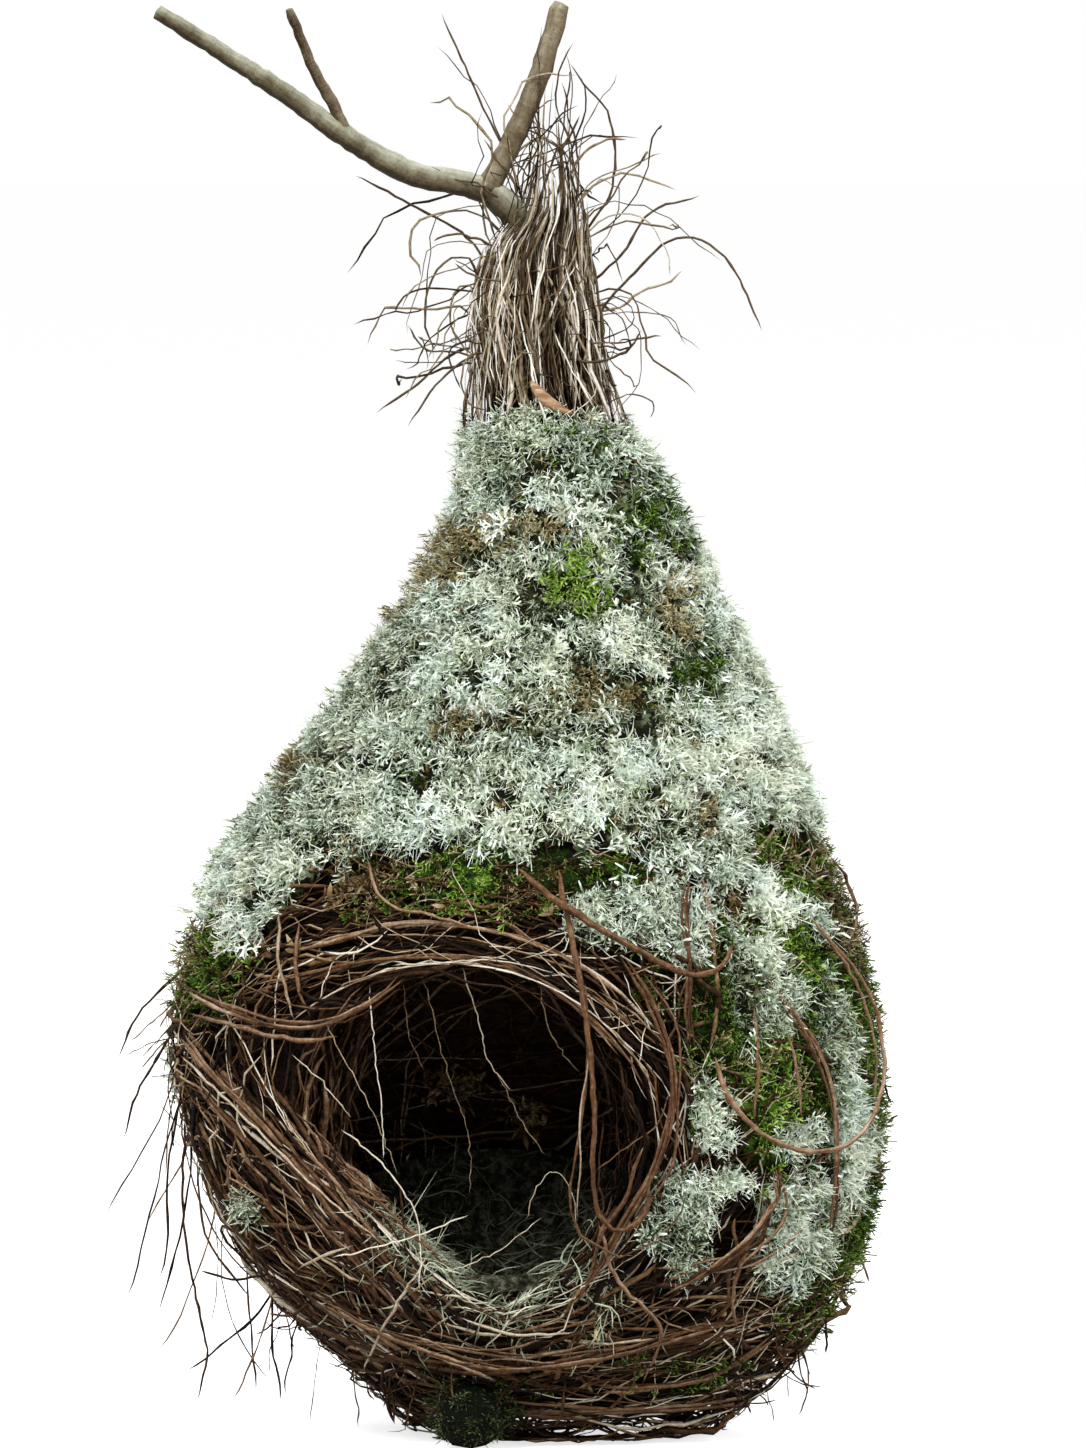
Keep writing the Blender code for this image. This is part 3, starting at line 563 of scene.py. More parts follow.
# The roots and vines that stand out of the weave, round the entrance and on the front. Each was laid
# over the others whole; finer roots run beside those of the rim, and make bundles of them.
STANDING_ROOTS = (  # name, radius, finer roots beside it, and a route of (x, height, clearance) in mm
    ("rim_root_top_inner", 0.0012, 4, ((-70, 108, 1), (-57, 112, 0), (-40, 117, 0), (-22, 119.5, 0),
        (-6, 117.5, 0), (8, 110, 0), (20, 98, 0), (27, 86, 0))),
    ("rim_root_top_outer", 0.0013, 4, ((-58, 118, 0), (-44, 122.5, 0), (-28, 126.5, 0), (-12, 125.5, 0),
        (3, 121, 0), (17, 113, 0), (29, 101, 0))),
    ("rim_root_right", 0.0014, 9, ((18, 124, 4.4), (26, 110, 4), (31, 95, 3.8), (31, 81, 3.4),
        (27, 68, 3), (21, 56, 1.2), (15, 43, 0), (9, 32, 0))),
    ("rim_root_hanging", 0.001, 2, ((6, 140, 5.2), (8, 128, 6.1), (10.5, 114, 6.6), (12.5, 99, 6.6),
        (13.5, 83, 6.6), (13.5, 66, 6.6), (15.5, 57.5, 6.6), (20, 55, 7.1), (24.5, 59, 7.4),
        (25.5, 66.5, 7.4))),
    ("rim_bundle_upper", 0.0017, 20, ((-82, 98.5, 0), (-71.5, 88.5, 0), (-59, 76, 0), (-50, 65.5, 0),
        (-41.5, 55.5, 0), (-33.5, 46.5, 0), (-25, 37, 0), (-15.5, 26, 0))),
    ("rim_bundle_lower", 0.0014, 18, ((-81.5, 91, 0), (-74, 82.5, 0), (-62, 70.5, 0), (-53, 60.5, 0),
        (-44.5, 51, 0), (-36.5, 42, 0), (-28, 32.5, 0), (-20, 24, 0))),
    ("shoulder_root_left", 0.0013, 6, ((-83, 111, 4.2), (-76, 108.5, 4.2), (-66, 105, 4.2),
        (-56, 102.5, 3.6), (-45, 103.5, 3), (-36, 108, 2.2), (-29, 114.5, 1.2))),
    ("left_edge_root", 0.0014, 10, ((-80, 79, 0), (-76.5, 67, 0), (-70, 55, 0), (-61, 42.5, 0),
        (-50, 31.5, 0), (-39, 22.5, 0), (-29, 16, 0))),
    ("bottom_root", 0.0013, 10, ((-56, 43, 4), (-38, 32, 4.2), (-20, 25, 4.2), (-4, 20.5, 4.2),
        (13, 22.5, 3.6), (31, 27, 1.2), (50, 32, 0), (64, 37, 0))),
    ("front_vine", 0.0011, 0, ((-3, 141, 9), (4, 134, 9), (14, 126.5, 9), (25, 119.5, 9), (34, 115, 8.6),
        (40, 117, 8), (42.5, 122.5, 7.5))),
    ("standing_root_right", 0.0012, 2, ((34, 137.5, 4.7), (33.5, 127, 4.7), (34.5, 116, 4.5),
        (35.5, 105, 3), (37.5, 96, 2))),
    ("vine_loop_right", 0.0008, 0, ((40, 96, 6), (43, 86, 6), (49.5, 77, 7.2), (59, 72, 7.6),
        (68, 73, 7.6), (74.5, 80, 7.2), (77, 91, 6.6), (75.5, 104, 6), (70, 115, 5.6), (63, 123.5, 5.2))),
    ("long_root_right", 0.0012, 1, ((51, 114, 4.2), (58, 104, 4.2), (63.5, 95, 4.2), (67.5, 83, 4.2),
        (68.5, 70, 4.2), (67.5, 58, 4.2), (65.5, 49, 4.2))),
    ("foot_root_right", 0.0014, 8, ((14, 15, 0), (27, 15, 0), (40, 17.5, 0), (50, 22.5, 0), (60, 29, 0))),
    ("low_root_right", 0.0012, 7, ((54, 70, 4.4), (53.5, 61, 5.2), (49, 53, 5.4), (40, 45.5, 5),
        (29, 38.5, 2.4))),
)
HOOP_ROOTS = (  # name, radius, first and last angle in degrees, height, rise of the far end
    ("foot_hoop_low", 0.0013, -178, 178, 0.0085, 0.0018),
    ("foot_hoop_back", 0.0015, -20, 192, 0.021, 0.005),
    ("belly_hoop_back", 0.0014, 8, 186, 0.042, -0.007),
    ("waist_hoop_back", 0.0013, 14, 182, 0.056, 0.009),
)
ROOT_STOPS = (
    (0.05, (0.006, 0.003, 0.002)),
    (0.28, (0.036, 0.017, 0.008)),
    (0.47, (0.12, 0.056, 0.025)),
    (0.63, (0.245, 0.135, 0.07)),
    (0.8, (0.46, 0.33, 0.215)),
    (1.0, (0.76, 0.67, 0.54)),
)
TONE_SHIFTS = {  # paler or darker than most: shift of tone
    # left_edge_root is painted darker, as shade on the nest's lower left outline
    "rim_root_top_inner": 0.06, "rim_root_top_outer": 0.06, "left_edge_root": -0.16,
    "vine_loop_right": 0.12, "long_root_right": 0.1,
}
TWINED = 0.00115  # a root thicker than this is several finer ones, twined
FINE_ROOTS = (  # single fine roots of the front: radius, tone, and a route of (x, height, clearance) in mm
    (0.00055, 0.62, ((49.2, 107, 5.8), (50.2, 93, 6), (49.6, 79, 5))),
    (0.00045, 0.66, ((56.5, 101, 6), (58.8, 90, 6.2), (60.6, 79, 5.2))),
    (0.0006, 0.6, ((66, 140, 5), (73.5, 129, 5), (71.6, 118, 4))),
    (0.00055, 0.7, ((61, 127, 6.2), (71.5, 111, 6.2), (77, 95, 5.6), (77.2, 80, 5))),
    (0.00065, 0.58, ((38, 138, 4), (40, 124, 5), (42, 109, 4.6), (40.5, 96, 3.6))),
    (0.0005, 0.86, ((-51, 43, 5), (-45, 47, 6.2), (-39, 50, 4.4))),
    (0.00045, 0.92, ((-35, 17, 4), (-28.5, 35, 6), (-23.5, 48, 2))),
    (0.0004, 0.88, ((-15, 33, 4), (-2, 29, 5.8), (11, 30, 4))),
    (0.0005, 0.8, ((-42, 33, 3.6), (-25, 26, 6), (-6, 17, 4.4))),
    (0.0005, 0.74, ((-56, 129, 4), (-55.5, 116, 5.4), (-53.5, 103, 3))),
    (0.0006, 0.55, ((-52, 127, 3.6), (-52.8, 115, 4), (-50.5, 104, 2))),
    (0.00055, 0.64, ((-36, 142, 4.6), (-32, 132, 5), (-22, 129, 4), (-12, 126, 2))),
    (0.0007, 0.6, ((-78, 103, 4.2), (-64, 101, 4.6), (-52, 99, 4), (-44, 100, 2.6))),
    (0.00045, 0.82, ((-80, 93, 4), (-64, 80, 5.2), (-48, 64, 4.6), (-33, 50, 3))),
    (0.0006, 0.68, ((16, 56, 2), (20, 42, 4), (29, 30, 4), (25, 16, 3.4))),
    (0.00055, 0.62, ((50, 54, 5), (45, 40, 5), (46, 28, 3.6))),
)
LAID_GAP = 0.0004
ROOT_STEP = 0.0022
BESIDE_POINTS = 18
BESIDE_SPREAD = 0.0034
BESIDE_KINDS = ((0.45, 0.00018, 0.00034), (0.4, 0.00034, 0.00056), (0.15, 0.00056, 0.00082))

root_finish, tree, shader, at = new_finish("root_bark_strands", 0.62)
streaks = bark_grain(tree, 22.0, 8.0, 4.0, 0.7)
scars = bark_grain(tree, 55.0, 0.8, 2.0)
worn = grain(tree, at, 130.0, 3.0)
# painted top light: the root bark is paler where it faces up and darker below
tone = top_light_and_bleach(tree, 0.15, carried(tree, "tone"))
shade = weigh(tree, streaks, 0.62, weigh(tree, scars, 0.24, weigh(tree, worn, 0.4, tone)))
shade = weigh(tree, grain(tree, at, 900.0, 3.0), 0.44, shade)
paint(tree, shader, shade, *ROOT_STOPS)
raise_by(tree, shader, weigh(tree, streaks, 1.0, scars), 0.0006, 0.9)


def smooth_route(points, step):
    """Points about a step apart, on a Catmull-Rom curve through the given ones in millimetres."""
    given = np.array(points, float) / 1000
    padded = np.vstack((2 * given[0] - given[1], given, 2 * given[-1] - given[-2]))
    route = [given[0]]
    for before, start, end, after in zip(padded, padded[1:], padded[2:], padded[3:]):
        count = max(1, round(np.linalg.norm(end - start) / step))
        for t in np.arange(1, count + 1) / count:
            bend = (2 * before - 5 * start + 4 * end - after) * t**2
            twist = (3 * start - before - 3 * end + after) * t**3
            route.append(0.5 * (2 * start + (end - before) * t + bend + twist))
    return np.array(route)


def knotty(rng, route, radius):
    """A root's radius along its route: tapering, uneven, with a few knots, pointed at its ends."""
    count = len(route)
    taper = np.linspace(0.9, 0.7, count)
    knots = (rng.random(count) < 0.09) * rng.uniform(0.12, 0.42, count)
    uneven = 1 + 0.08 * rng.normal(size=count) + knots
    from_end = np.minimum(np.arange(count), np.arange(count)[::-1])
    return radius * taper * uneven * np.minimum(1, from_end / 2.5) ** 0.6


def crook(rng, route, size):
    """A course with the small kinks of a dry root."""
    kinks = np.cumsum(rng.normal(0, 1, route.shape) * (rng.random((len(route), 1)) < 0.3), axis=0)
    kinks -= np.linspace(0, 1, len(route))[:, None] * kinks[-1]
    return route + size * (0.35 * kinks + rng.normal(0, 0.5, route.shape))


def twine(rng, route, radius, count):
    """A few thinner roots wound round each other, that together fill a root of this radius."""
    ahead = unit(np.gradient(route, axis=0))
    side = unit(np.cross(ahead, (0.3, 0.2, 1.0)))
    over = np.cross(ahead, side)
    routes, radii = [], []
    for k in range(count):
        first = rng.integers(0, max(1, len(route) // 6))
        last = len(route) - rng.integers(0, max(1, len(route) // 6))
        s = np.linspace(0, 1, len(route))
        turn = 2 * math.pi * (k / count + rng.uniform(-1.2, 1.2) * s) + wavy(rng, 1, len(route), 0.5)[0]
        reach = radius * (rng.uniform(0.45, 0.75) + wavy(rng, 1, len(route), 0.18)[0])
        strand = route + reach[:, None] * (np.cos(turn)[:, None] * side + np.sin(turn)[:, None] * over)
        routes.append(crook(rng, strand[first:last], 0.00016))
        radii.append(knotty(rng, routes[-1], radius * rng.uniform(0.24, 0.44)))
    return routes, radii


def add_root(name, rng, route, radius, tone, finish=root_finish, slot="root_bark", resolution=1):
    """The bark of one prominent root: a single one, or several twined where it is thick."""
    if radius > TWINED:
        routes, radii = twine(rng, route, radius, 4 + (radius > 0.00145))
        tones = np.clip(rng.normal(tone, 0.09, len(routes)), 0.1, 0.95)
    else:
        routes = [crook(rng, route, 0.00022)]
        radii, tones = [knotty(rng, route, radius * 0.85)], [tone]
    add_strands(name + "_bark", routes, radii, tones, finish, slot, name, resolution=resolution)


def routes_beside(rng, course, count, radius):
    """Finer roots that run beside one on the front, each for a part of its length."""
    routes = []
    for _ in range(count):
        start = rng.uniform(0.0, 0.6)
        part = np.linspace(start, min(1.0, start + rng.uniform(0.25, 0.8)), BESIDE_POINTS)
        whole = np.linspace(0, 1, len(course))
        x, height, clearance = (np.interp(part, whole, column) for column in course.T)
        run = unit(np.gradient(np.stack((x, height), -1), axis=0))
        aside = rng.normal(0, BESIDE_SPREAD) + wavy(rng, 1, BESIDE_POINTS, 0.0009)[0]
        aside += rng.normal(0, 0.005) * np.linspace(-1, 1, BESIDE_POINTS)
        lift = radius + clearance + rng.uniform(-0.004, 0.001)
        lift = lift + wavy(rng, 1, BESIDE_POINTS, 0.0006)[0]
        x, height = x - run[:, 1] * aside, np.clip(height + run[:, 0] * aside, 0.004, 0.2)
        routes.append(crook(rng, front_points(x, height, lift), 0.0002))
    return routes


rng = np.random.default_rng(23)
beside = []
for name, radius, finer, places in STANDING_ROOTS:
    course = smooth_route(places, ROOT_STEP)
    x, height, clearance = course.T
    route = front_points(x, height, radius + LAID_GAP + clearance)
    tone = rng.uniform(0.42, 0.56) + TONE_SHIFTS.get(name, 0.0)
    add_root(name, rng, route, radius, tone)
    beside += routes_beside(rng, course, finer, radius)
for name, radius, first, last, low, rise in HOOP_ROOTS:
    t = np.linspace(0, 1, 60)
    angles = np.radians(first + (last - first) * t)
    route = wall_points(angles, low + rise * t, radius + LAID_GAP)
    add_root(name, rng, route, radius, rng.uniform(0.4, 0.56), resolution=0)
radii = list(strand_radii(rng, len(beside), BESIDE_POINTS, BESIDE_KINDS))
thickness = np.array([radius.mean() for radius in radii])
tones = list(np.clip(rng.normal(0.44, 0.18, len(beside)) - 420 * (thickness - 0.0003), 0.08, 0.98))
for radius, tone, places in FINE_ROOTS:
    course = smooth_route(places, ROOT_STEP)
    x, height, clearance = course.T
    beside.append(crook(rng, front_points(x, height, clearance), 0.0003))
    radii.append(knotty(rng, course, radius))
    tones.append(tone)
add_strands("roots_beside_the_rim", beside, radii, tones, root_finish, "root_bark")


# The passage through the wall and the egg chamber behind it: the same weave seen from inside, dim
# and brown. At the left of the passage the rings of the rim stand upright, one behind another.
CHAMBER_CENTRE = np.array((-0.008, -0.008, 0.077))
CHAMBER_RADII = np.array((0.052, 0.056, 0.052))
MOUTH_OUTER = np.array((-0.11, -0.025, 0.0745, 0.059, 0.044))  # y, x, z, half x, half z
MOUTH_INNER = np.array((-0.025, -0.013, 0.073, 0.031, 0.0405))
PASSAGE_STRANDS = 250
PASSAGE_POINTS = 12
CHAMBER_STRANDS = 330
CHAMBER_POINTS = 11


def passage_points(turn, depth, lift):
    """Points on the passage's wall: round it by turn, behind the front by depth, lifted inwards."""
    y = np.full_like(turn, -0.07)
    for _ in range(4):
        share = (y - MOUTH_INNER[0]) / (MOUTH_OUTER[0] - MOUTH_INNER[0])
        middle_x, middle_z, half_x, half_z = (
            inner + (outer - inner) * share for inner, outer in zip(MOUTH_INNER[1:], MOUTH_OUTER[1:])
        )
        x = middle_x + (half_x - lift) * np.cos(turn)
        z = middle_z + (half_z - lift) * np.sin(turn)
        below = past_lip(x, z) - lift
        x = x - np.minimum(below, 0) * LIP_NORMAL[0]
        z = z - np.minimum(below, 0) * LIP_NORMAL[1]
        radius, lean = wall_section(z)
        across = np.clip((x - lean) / radius, -0.98, 0.98)
        y = -DEPTH_SHARE * radius * np.sqrt(1 - across**2) + depth
    return np.stack((x, y, z), -1)


rng = np.random.default_rng(31)
middle = rng.uniform(0, 2 * math.pi, (PASSAGE_STRANDS, 1))
upright = rng.random((PASSAGE_STRANDS, 1)) < 0.34
middle = np.where(upright, math.pi + rng.normal(0, 0.3, middle.shape), middle)
reach = rng.uniform(0.25, 0.75, (PASSAGE_STRANDS, 1))
turn = middle + reach * np.linspace(-1, 1, PASSAGE_POINTS)
depth = rng.uniform(0.001, 0.042, (PASSAGE_STRANDS, 1))
depth = depth + rng.normal(0, 0.009, depth.shape) * np.linspace(-1, 1, PASSAGE_POINTS)
lift = rng.uniform(-0.0058, 0.0016, depth[:, :1].shape) + wavy(rng, PASSAGE_STRANDS, PASSAGE_POINTS, 0.0014)
routes = passage_points(turn, np.maximum(depth, 0.0005), lift)
routes += rng.normal(0, 0.0003, routes.shape)
radii = strand_radii(rng, PASSAGE_STRANDS, PASSAGE_POINTS) * np.where(upright, 1.25, 0.9)
# painted shade: passage strands lying deeper in its wall, and further into the passage, are darker, the
# upright ones less so
raised_lit_share = np.clip((lift.mean(axis=1) + 0.005) / 0.006, 0, 1)
tones = 0.08 + 0.34 * raised_lit_share + 0.34 * upright[:, 0] * raised_lit_share + rng.normal(0, 0.13, PASSAGE_STRANDS)
tones -= np.where(upright[:, 0], 2.5, 5.5) * np.maximum(depth[:, 0], 0)
tones = np.clip(tones, 0.03, 0.62)
add_strands("passage_strands", routes, radii, tones, root_finish, "woven_roots")

start = rng.normal(size=(CHAMBER_STRANDS, 3))
start[:, 1] = np.abs(start[:, 1]) * np.where(rng.random(CHAMBER_STRANDS) < 0.75, 1, -1)
start = unit(start)
along = unit(np.cross(start, rng.normal(size=start.shape) + (0, 0, 1.2)))
arc = rng.uniform(0.5, 1.5, (CHAMBER_STRANDS, 1)) * np.linspace(-0.5, 0.5, CHAMBER_POINTS)
sphere = start[:, None] * np.cos(arc)[..., None] + along[:, None] * np.sin(arc)[..., None]
lift = rng.uniform(-0.03, 0.045, (CHAMBER_STRANDS, 1)) + wavy(rng, CHAMBER_STRANDS, CHAMBER_POINTS, 0.012)
routes = CHAMBER_CENTRE + CHAMBER_RADII * sphere * (1 - lift[..., None])
routes += rng.normal(0, 0.0003, routes.shape)
inside = ~np.any(routes[..., 1] < -0.028, axis=1)
radii = strand_radii(rng, inside.sum(), CHAMBER_POINTS)
tones = np.clip(rng.normal(0.46, 0.16, inside.sum()), 0.05, 0.95)
add_strands("chamber_strands", routes[inside], radii, tones, woven_finish, "woven_roots")


# Pale rootlets hang loose in the entrance, and a few lie across its sill.
ROOTLETS = (  # radius, tone, and a route of (x, y, height) in mm
    (0.00024, 0.96, ((-37.9, -61, 112), (-36.5, -60, 96), (-35, -58.5, 81.6), (-34.8, -57, 70))),
    (0.00016, 0.72, ((-25.2, -56, 113), (-21.6, -52, 98.4), (-18, -48, 86.4), (-14.4, -44, 74.4),
        (-14, -42, 60))),
    (0.00022, 0.88, ((-16.1, -60, 116.5), (-12, -58, 103.2), (-10.6, -56, 96), (-8.4, -55, 91.2),
        (-3.6, -54, 85.9))),
    (0.0002, 0.78, ((-49, -64, 104), (-42, -60, 91.2), (-36, -57, 79.2), (-31.2, -54, 66))),
    (0.00028, 0.92, ((-45, -64, 78), (-37.2, -64, 72), (-31.2, -65, 64.8), (-26.8, -66, 56),
        (-25.9, -68, 39.6))),
    (0.00016, 0.8, ((-1, -60, 56), (2.4, -60, 64.8), (6, -60, 67.6), (9.8, -61, 63), (11, -62, 54))),
    (0.00028, 0.94, ((-47, -70, 48), (-31, -69, 51.6), (-14.4, -64, 57.8))),
    (0.00018, 0.84, ((-20, -68, 44), (-8, -66, 49), (3, -64, 57))),
    (0.0002, 0.86, ((15, -64, 101), (23, -66, 97), (25, -68, 90), (28, -69, 85))),
    (0.00018, 0.74, ((2, -56, 112), (5, -54, 100), (12, -52, 90))),
    (0.00016, 0.66, ((-30, -50, 112), (-29, -48, 100), (-25, -46, 90))),
    (0.00018, 0.7, ((-8, -42, 90), (-2, -42, 78), (4, -43, 70))),
    (0.00022, 0.88, ((-56, -66, 96), (-47, -64, 87), (-42, -62, 80))),
)
rng = np.random.default_rng(37)
routes = [crook(rng, smooth_route(places, 0.0016), 0.00034) for _, _, places in ROOTLETS]
radii = [knotty(rng, route, 0.8 * radius) for route, (radius, _, _) in zip(routes, ROOTLETS)]
tones = [tone for _, tone, _ in ROOTLETS]
add_strands("rootlets_in_the_entrance", routes, radii, tones, woven_finish, "woven_roots")


# The lining of the cup: a pad of fine pale lichen threads and rootlets, pressed to a bowl by the
# sitting bird. It spills over the sill, brightest at the lower left.
LINING_THICKNESS = 0.0045
LINING_FRONT = (-0.064, 0.0315)  # y and height of the pad's edge at the front and at the back
LINING_BACK = (0.048, 0.064)
LINING_THREADS = 1000
SILL_THREADS = 480
SPILL_THREADS = 150
SPILL_MIDDLE = (-0.01, 0.033)  # x and height about which threads spill over the wall's front
SPILL_SIZE = (0.015, 0.0065)
GREEN_TUFTS = (  # greener tufts on the sill: threads, x, height, half width, half height, slope
    (230, -0.0302, 0.0482, 0.0046, 0.0024, -0.85),
    (90, 0.0168, 0.0378, 0.0026, 0.004, 0.0),
)
THREAD_POINTS = 7
THREAD_KINDS = ((0.85, 0.0001, 0.00019), (0.15, 0.00019, 0.00031))
TUFT_KINDS = ((1.0, 0.00009, 0.00017),)
LINING_STOPS = (
    (0.05, (0.028, 0.024, 0.013)),
    (0.28, (0.11, 0.105, 0.062)),
    (0.5, (0.27, 0.295, 0.2)),
    (0.74, (0.48, 0.54, 0.37)),
    (1.0, (0.76, 0.8, 0.62)),
)
lining_finish = strand_finish("lining_threads", LINING_STOPS, 0.9)

pad_finish, tree, shader, at = new_finish("lining_pad", 0.95)
felt = grain(tree, at, 420.0, 5.0, 0.75)
paint(tree, shader, felt, (0.36, (0.008, 0.007, 0.004)), (0.5, (0.05, 0.048, 0.03)),
      (0.66, (0.25, 0.262, 0.185)))
raise_by(tree, shader, felt, 0.0015)
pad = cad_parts["cup_lining"]
pad.material_slots[0].material = pad_finish


def curly_threads(rng, centres, outs, length, curl, points=THREAD_POINTS):
    """Short threads that lie about the given points, square to the given directions."""
    count = len(centres)
    way = unit(np.cross(outs, rng.normal(size=(count, 3))))
    side = np.cross(outs, way)
    half = rng.uniform(0.4, 1.0, (count, 1)) * length / 2
    bend = rng.normal(0, curl, (count, 1))
    twist = rng.normal(0, curl * 0.7, (count, 1))
    t = np.linspace(-1, 1, points)
    lifted = rng.uniform(0, 0.12, (count, 1)) * (1 - t**2) + rng.normal(0, 0.05, (count, 1)) * t
    return centres[:, None] + half[..., None] * (
        t[:, None] * way[:, None]
        + (bend * t**2 + twist * t**3)[..., None] * side[:, None]
        + lifted[..., None] * outs[:, None]
    )


rng = np.random.default_rng(41)
down = unit(rng.normal(size=(LINING_THREADS * 5, 3)))
inner = CHAMBER_RADII - LINING_THICKNESS - rng.uniform(-0.0003, 0.002, (len(down), 1))
spots = CHAMBER_CENTRE + inner * down
edge = LINING_FRONT[1] + (spots[:, 1] - LINING_FRONT[0]) * (
    (LINING_BACK[1] - LINING_FRONT[1]) / (LINING_BACK[0] - LINING_FRONT[0])
)
held = spots[:, 2] < edge + rng.normal(0, 0.0025, len(spots))
held &= (spots[:, 1] < -0.015) | (rng.random(len(spots)) < 0.5)
spots, outs = spots[held][:LINING_THREADS], -down[held][:LINING_THREADS]
routes = curly_threads(rng, spots, outs, 0.019, 0.45)
# painted shade: threads deeper in the cup are darker, those near the front paler
front_lit_share = np.clip((-0.01 - spots[:, 1]) / 0.035, 0, 1)
tones = np.clip(0.44 + 0.46 * front_lit_share + rng.normal(0, 0.2, len(routes)), 0.05, 1.0)

sill_turn = rng.normal(-1.7, 0.42, SILL_THREADS)
sill_depth = rng.uniform(0.0, 1.0, SILL_THREADS) ** 0.7 * 0.05
sill = passage_points(sill_turn, sill_depth, rng.uniform(-0.002, 0.002, SILL_THREADS))
sill_outs = np.stack((-np.cos(sill_turn), np.full(SILL_THREADS, -0.25), -np.sin(sill_turn)), -1)
sill_routes = curly_threads(rng, sill, sill_outs, 0.017, 0.5)
sill_tones = np.clip(rng.normal(0.7, 0.22, SILL_THREADS), 0.05, 1.0)

spill_x = rng.normal(SPILL_MIDDLE[0], SPILL_SIZE[0], SPILL_THREADS)
spill_height = rng.normal(SPILL_MIDDLE[1], SPILL_SIZE[1], SPILL_THREADS)
spill_angle, spill_height = keep_out_of_mouth(front_angle(spill_x, spill_height), spill_height, 0.001)
spill = wall_points(spill_angle, spill_height, rng.uniform(-0.001, 0.0022, SPILL_THREADS))
spill_outs = np.stack((spill_x * 5, spill_x * 0 - 1, spill_x * 0), -1)
spill_routes = curly_threads(rng, spill, spill_outs, 0.015, 0.6)
spill_tones = np.clip(rng.normal(0.52, 0.22, SPILL_THREADS), 0.05, 1.0)

counts = [spot[0] for spot in GREEN_TUFTS]
tuft_x, tuft_height, half_x, half_z, slope = (
    np.repeat([spot[k] for spot in GREEN_TUFTS], counts) for k in range(1, 6)
)
aside, climb = half_x * rng.normal(size=len(tuft_x)), half_z * rng.normal(size=len(tuft_x))
tuft_x, tuft_height = tuft_x + aside, tuft_height + climb + slope * aside
lift = rng.uniform(-0.005, 0.0014, len(tuft_x))
wisp = front_points(tuft_x, tuft_height, lift)
wisp_outs = np.array((0.1, -1.0, 0.3)) + rng.normal(0, 0.45, wisp.shape)
wisp_routes = curly_threads(rng, wisp, wisp_outs, 0.0085, 1.1)
# painted shade: tuft threads lying deeper are darker
wisp_tones = np.clip(0.56 + 30 * lift + rng.normal(0, 0.15, len(lift)), 0.15, 1.0)
routes = np.concatenate((routes, sill_routes, spill_routes))
radii = strand_radii(rng, len(routes), THREAD_POINTS, THREAD_KINDS)
radii = np.concatenate((radii, strand_radii(rng, len(wisp_routes), THREAD_POINTS, TUFT_KINDS)))
routes = np.concatenate((routes, wisp_routes))
tones = np.concatenate((tones, sill_tones, spill_tones, wisp_tones))
add_strands("lining_threads", routes, radii, tones, lining_finish, "cup_lining")


# Lichen clothes the roof all round, and grows in patches below it: a pale felt of cushions a few
# millimetres across, with curled lobes and threads on it, and whiter antler-like lobes in places.
CAPE_TOP = 0.242
CAPE_FOOT = 0.116  # no lichen of the roof hangs lower
BELOW_ROOF = (0.03, 0.15)  # heights between which patches grow
HIGH_ON_ROOF = 0.16
CUSHION_SPACING = 0.0084
TUFT_SPACING = 0.0024
FELT_STEP = 0.0013
FELT_THICK = 0.0022
CUSHION_RISE = 0.003
LICHEN_PATCHES = (  # name, facing in degrees, height, half width, half height, variety
    ("lichen_patch_front", -64, 0.13, 0.011, 0.006, 1),
    ("lichen_patch_drape", -49, 0.112, 0.0068, 0.0125, 2),
    ("lichen_patch_right_edge", -26, 0.088, 0.0062, 0.0245, 3),
    ("lichen_patch_low_right", -34, 0.053, 0.01, 0.011, 4),
    ("lichen_patch_rosette", -65, 0.0555, 0.0088, 0.0135, 5),
    ("lichen_patch_back", 112, 0.102, 0.024, 0.02, 6),
    ("lichen_patch_back_left", 158, 0.082, 0.016, 0.015, 7),
)
SEEN_LICHEN = (  # more of the same on the front: x, height, half width as seen, half height
    (0.019, 0.129, 0.01, 0.007),
    (0.0345, 0.1235, 0.0052, 0.006),
    (0.044, 0.1378, 0.005, 0.003),
    (0.0525, 0.135, 0.0026, 0.004),
    (0.056, 0.129, 0.0062, 0.003),
    (0.0655, 0.1247, 0.0022, 0.0032),
    (0.055, 0.111, 0.007, 0.011),
    (0.069, 0.101, 0.0034, 0.011),
    (0.0625, 0.0735, 0.005, 0.0055),
    (0.0745, 0.07, 0.0045, 0.011),
    (0.062, 0.052, 0.0075, 0.014),
    (0.041, 0.0815, 0.0042, 0.0092),
    (0.0465, 0.0655, 0.0048, 0.0036),
    (-0.065, 0.0572, 0.0022, 0.003),
)
ROOF_GROWTH = (  # moss that shows through the lichen: x, height, half width, half height, kind
    (-0.011, 0.215, 0.0088, 0.0042, "gold"),
    (0.0, 0.2178, 0.0078, 0.004, "gold"),
    (-0.0215, 0.209, 0.008, 0.005, "gold"),
    (-0.03, 0.2, 0.005, 0.005, "gold"),
    (0.0107, 0.2062, 0.0064, 0.0074, "bright"),
    (0.0242, 0.2188, 0.008, 0.008, "deep"),
    (0.011, 0.2405, 0.006, 0.0036, "deep"),
    (0.031, 0.234, 0.004, 0.0065, "bright"),
    (0.0155, 0.1795, 0.009, 0.0042, "brown"),
    (0.037, 0.1845, 0.0058, 0.007, "deep"),
    (0.03, 0.199, 0.0036, 0.007, "gold"),
    (0.0382, 0.1515, 0.0028, 0.006, "brown"),
    (-0.053, 0.164, 0.003, 0.008, "brown"),
    (-0.036, 0.188, 0.004, 0.0034, "brown"),
    (-0.013, 0.173, 0.008, 0.0024, "brown"),
)
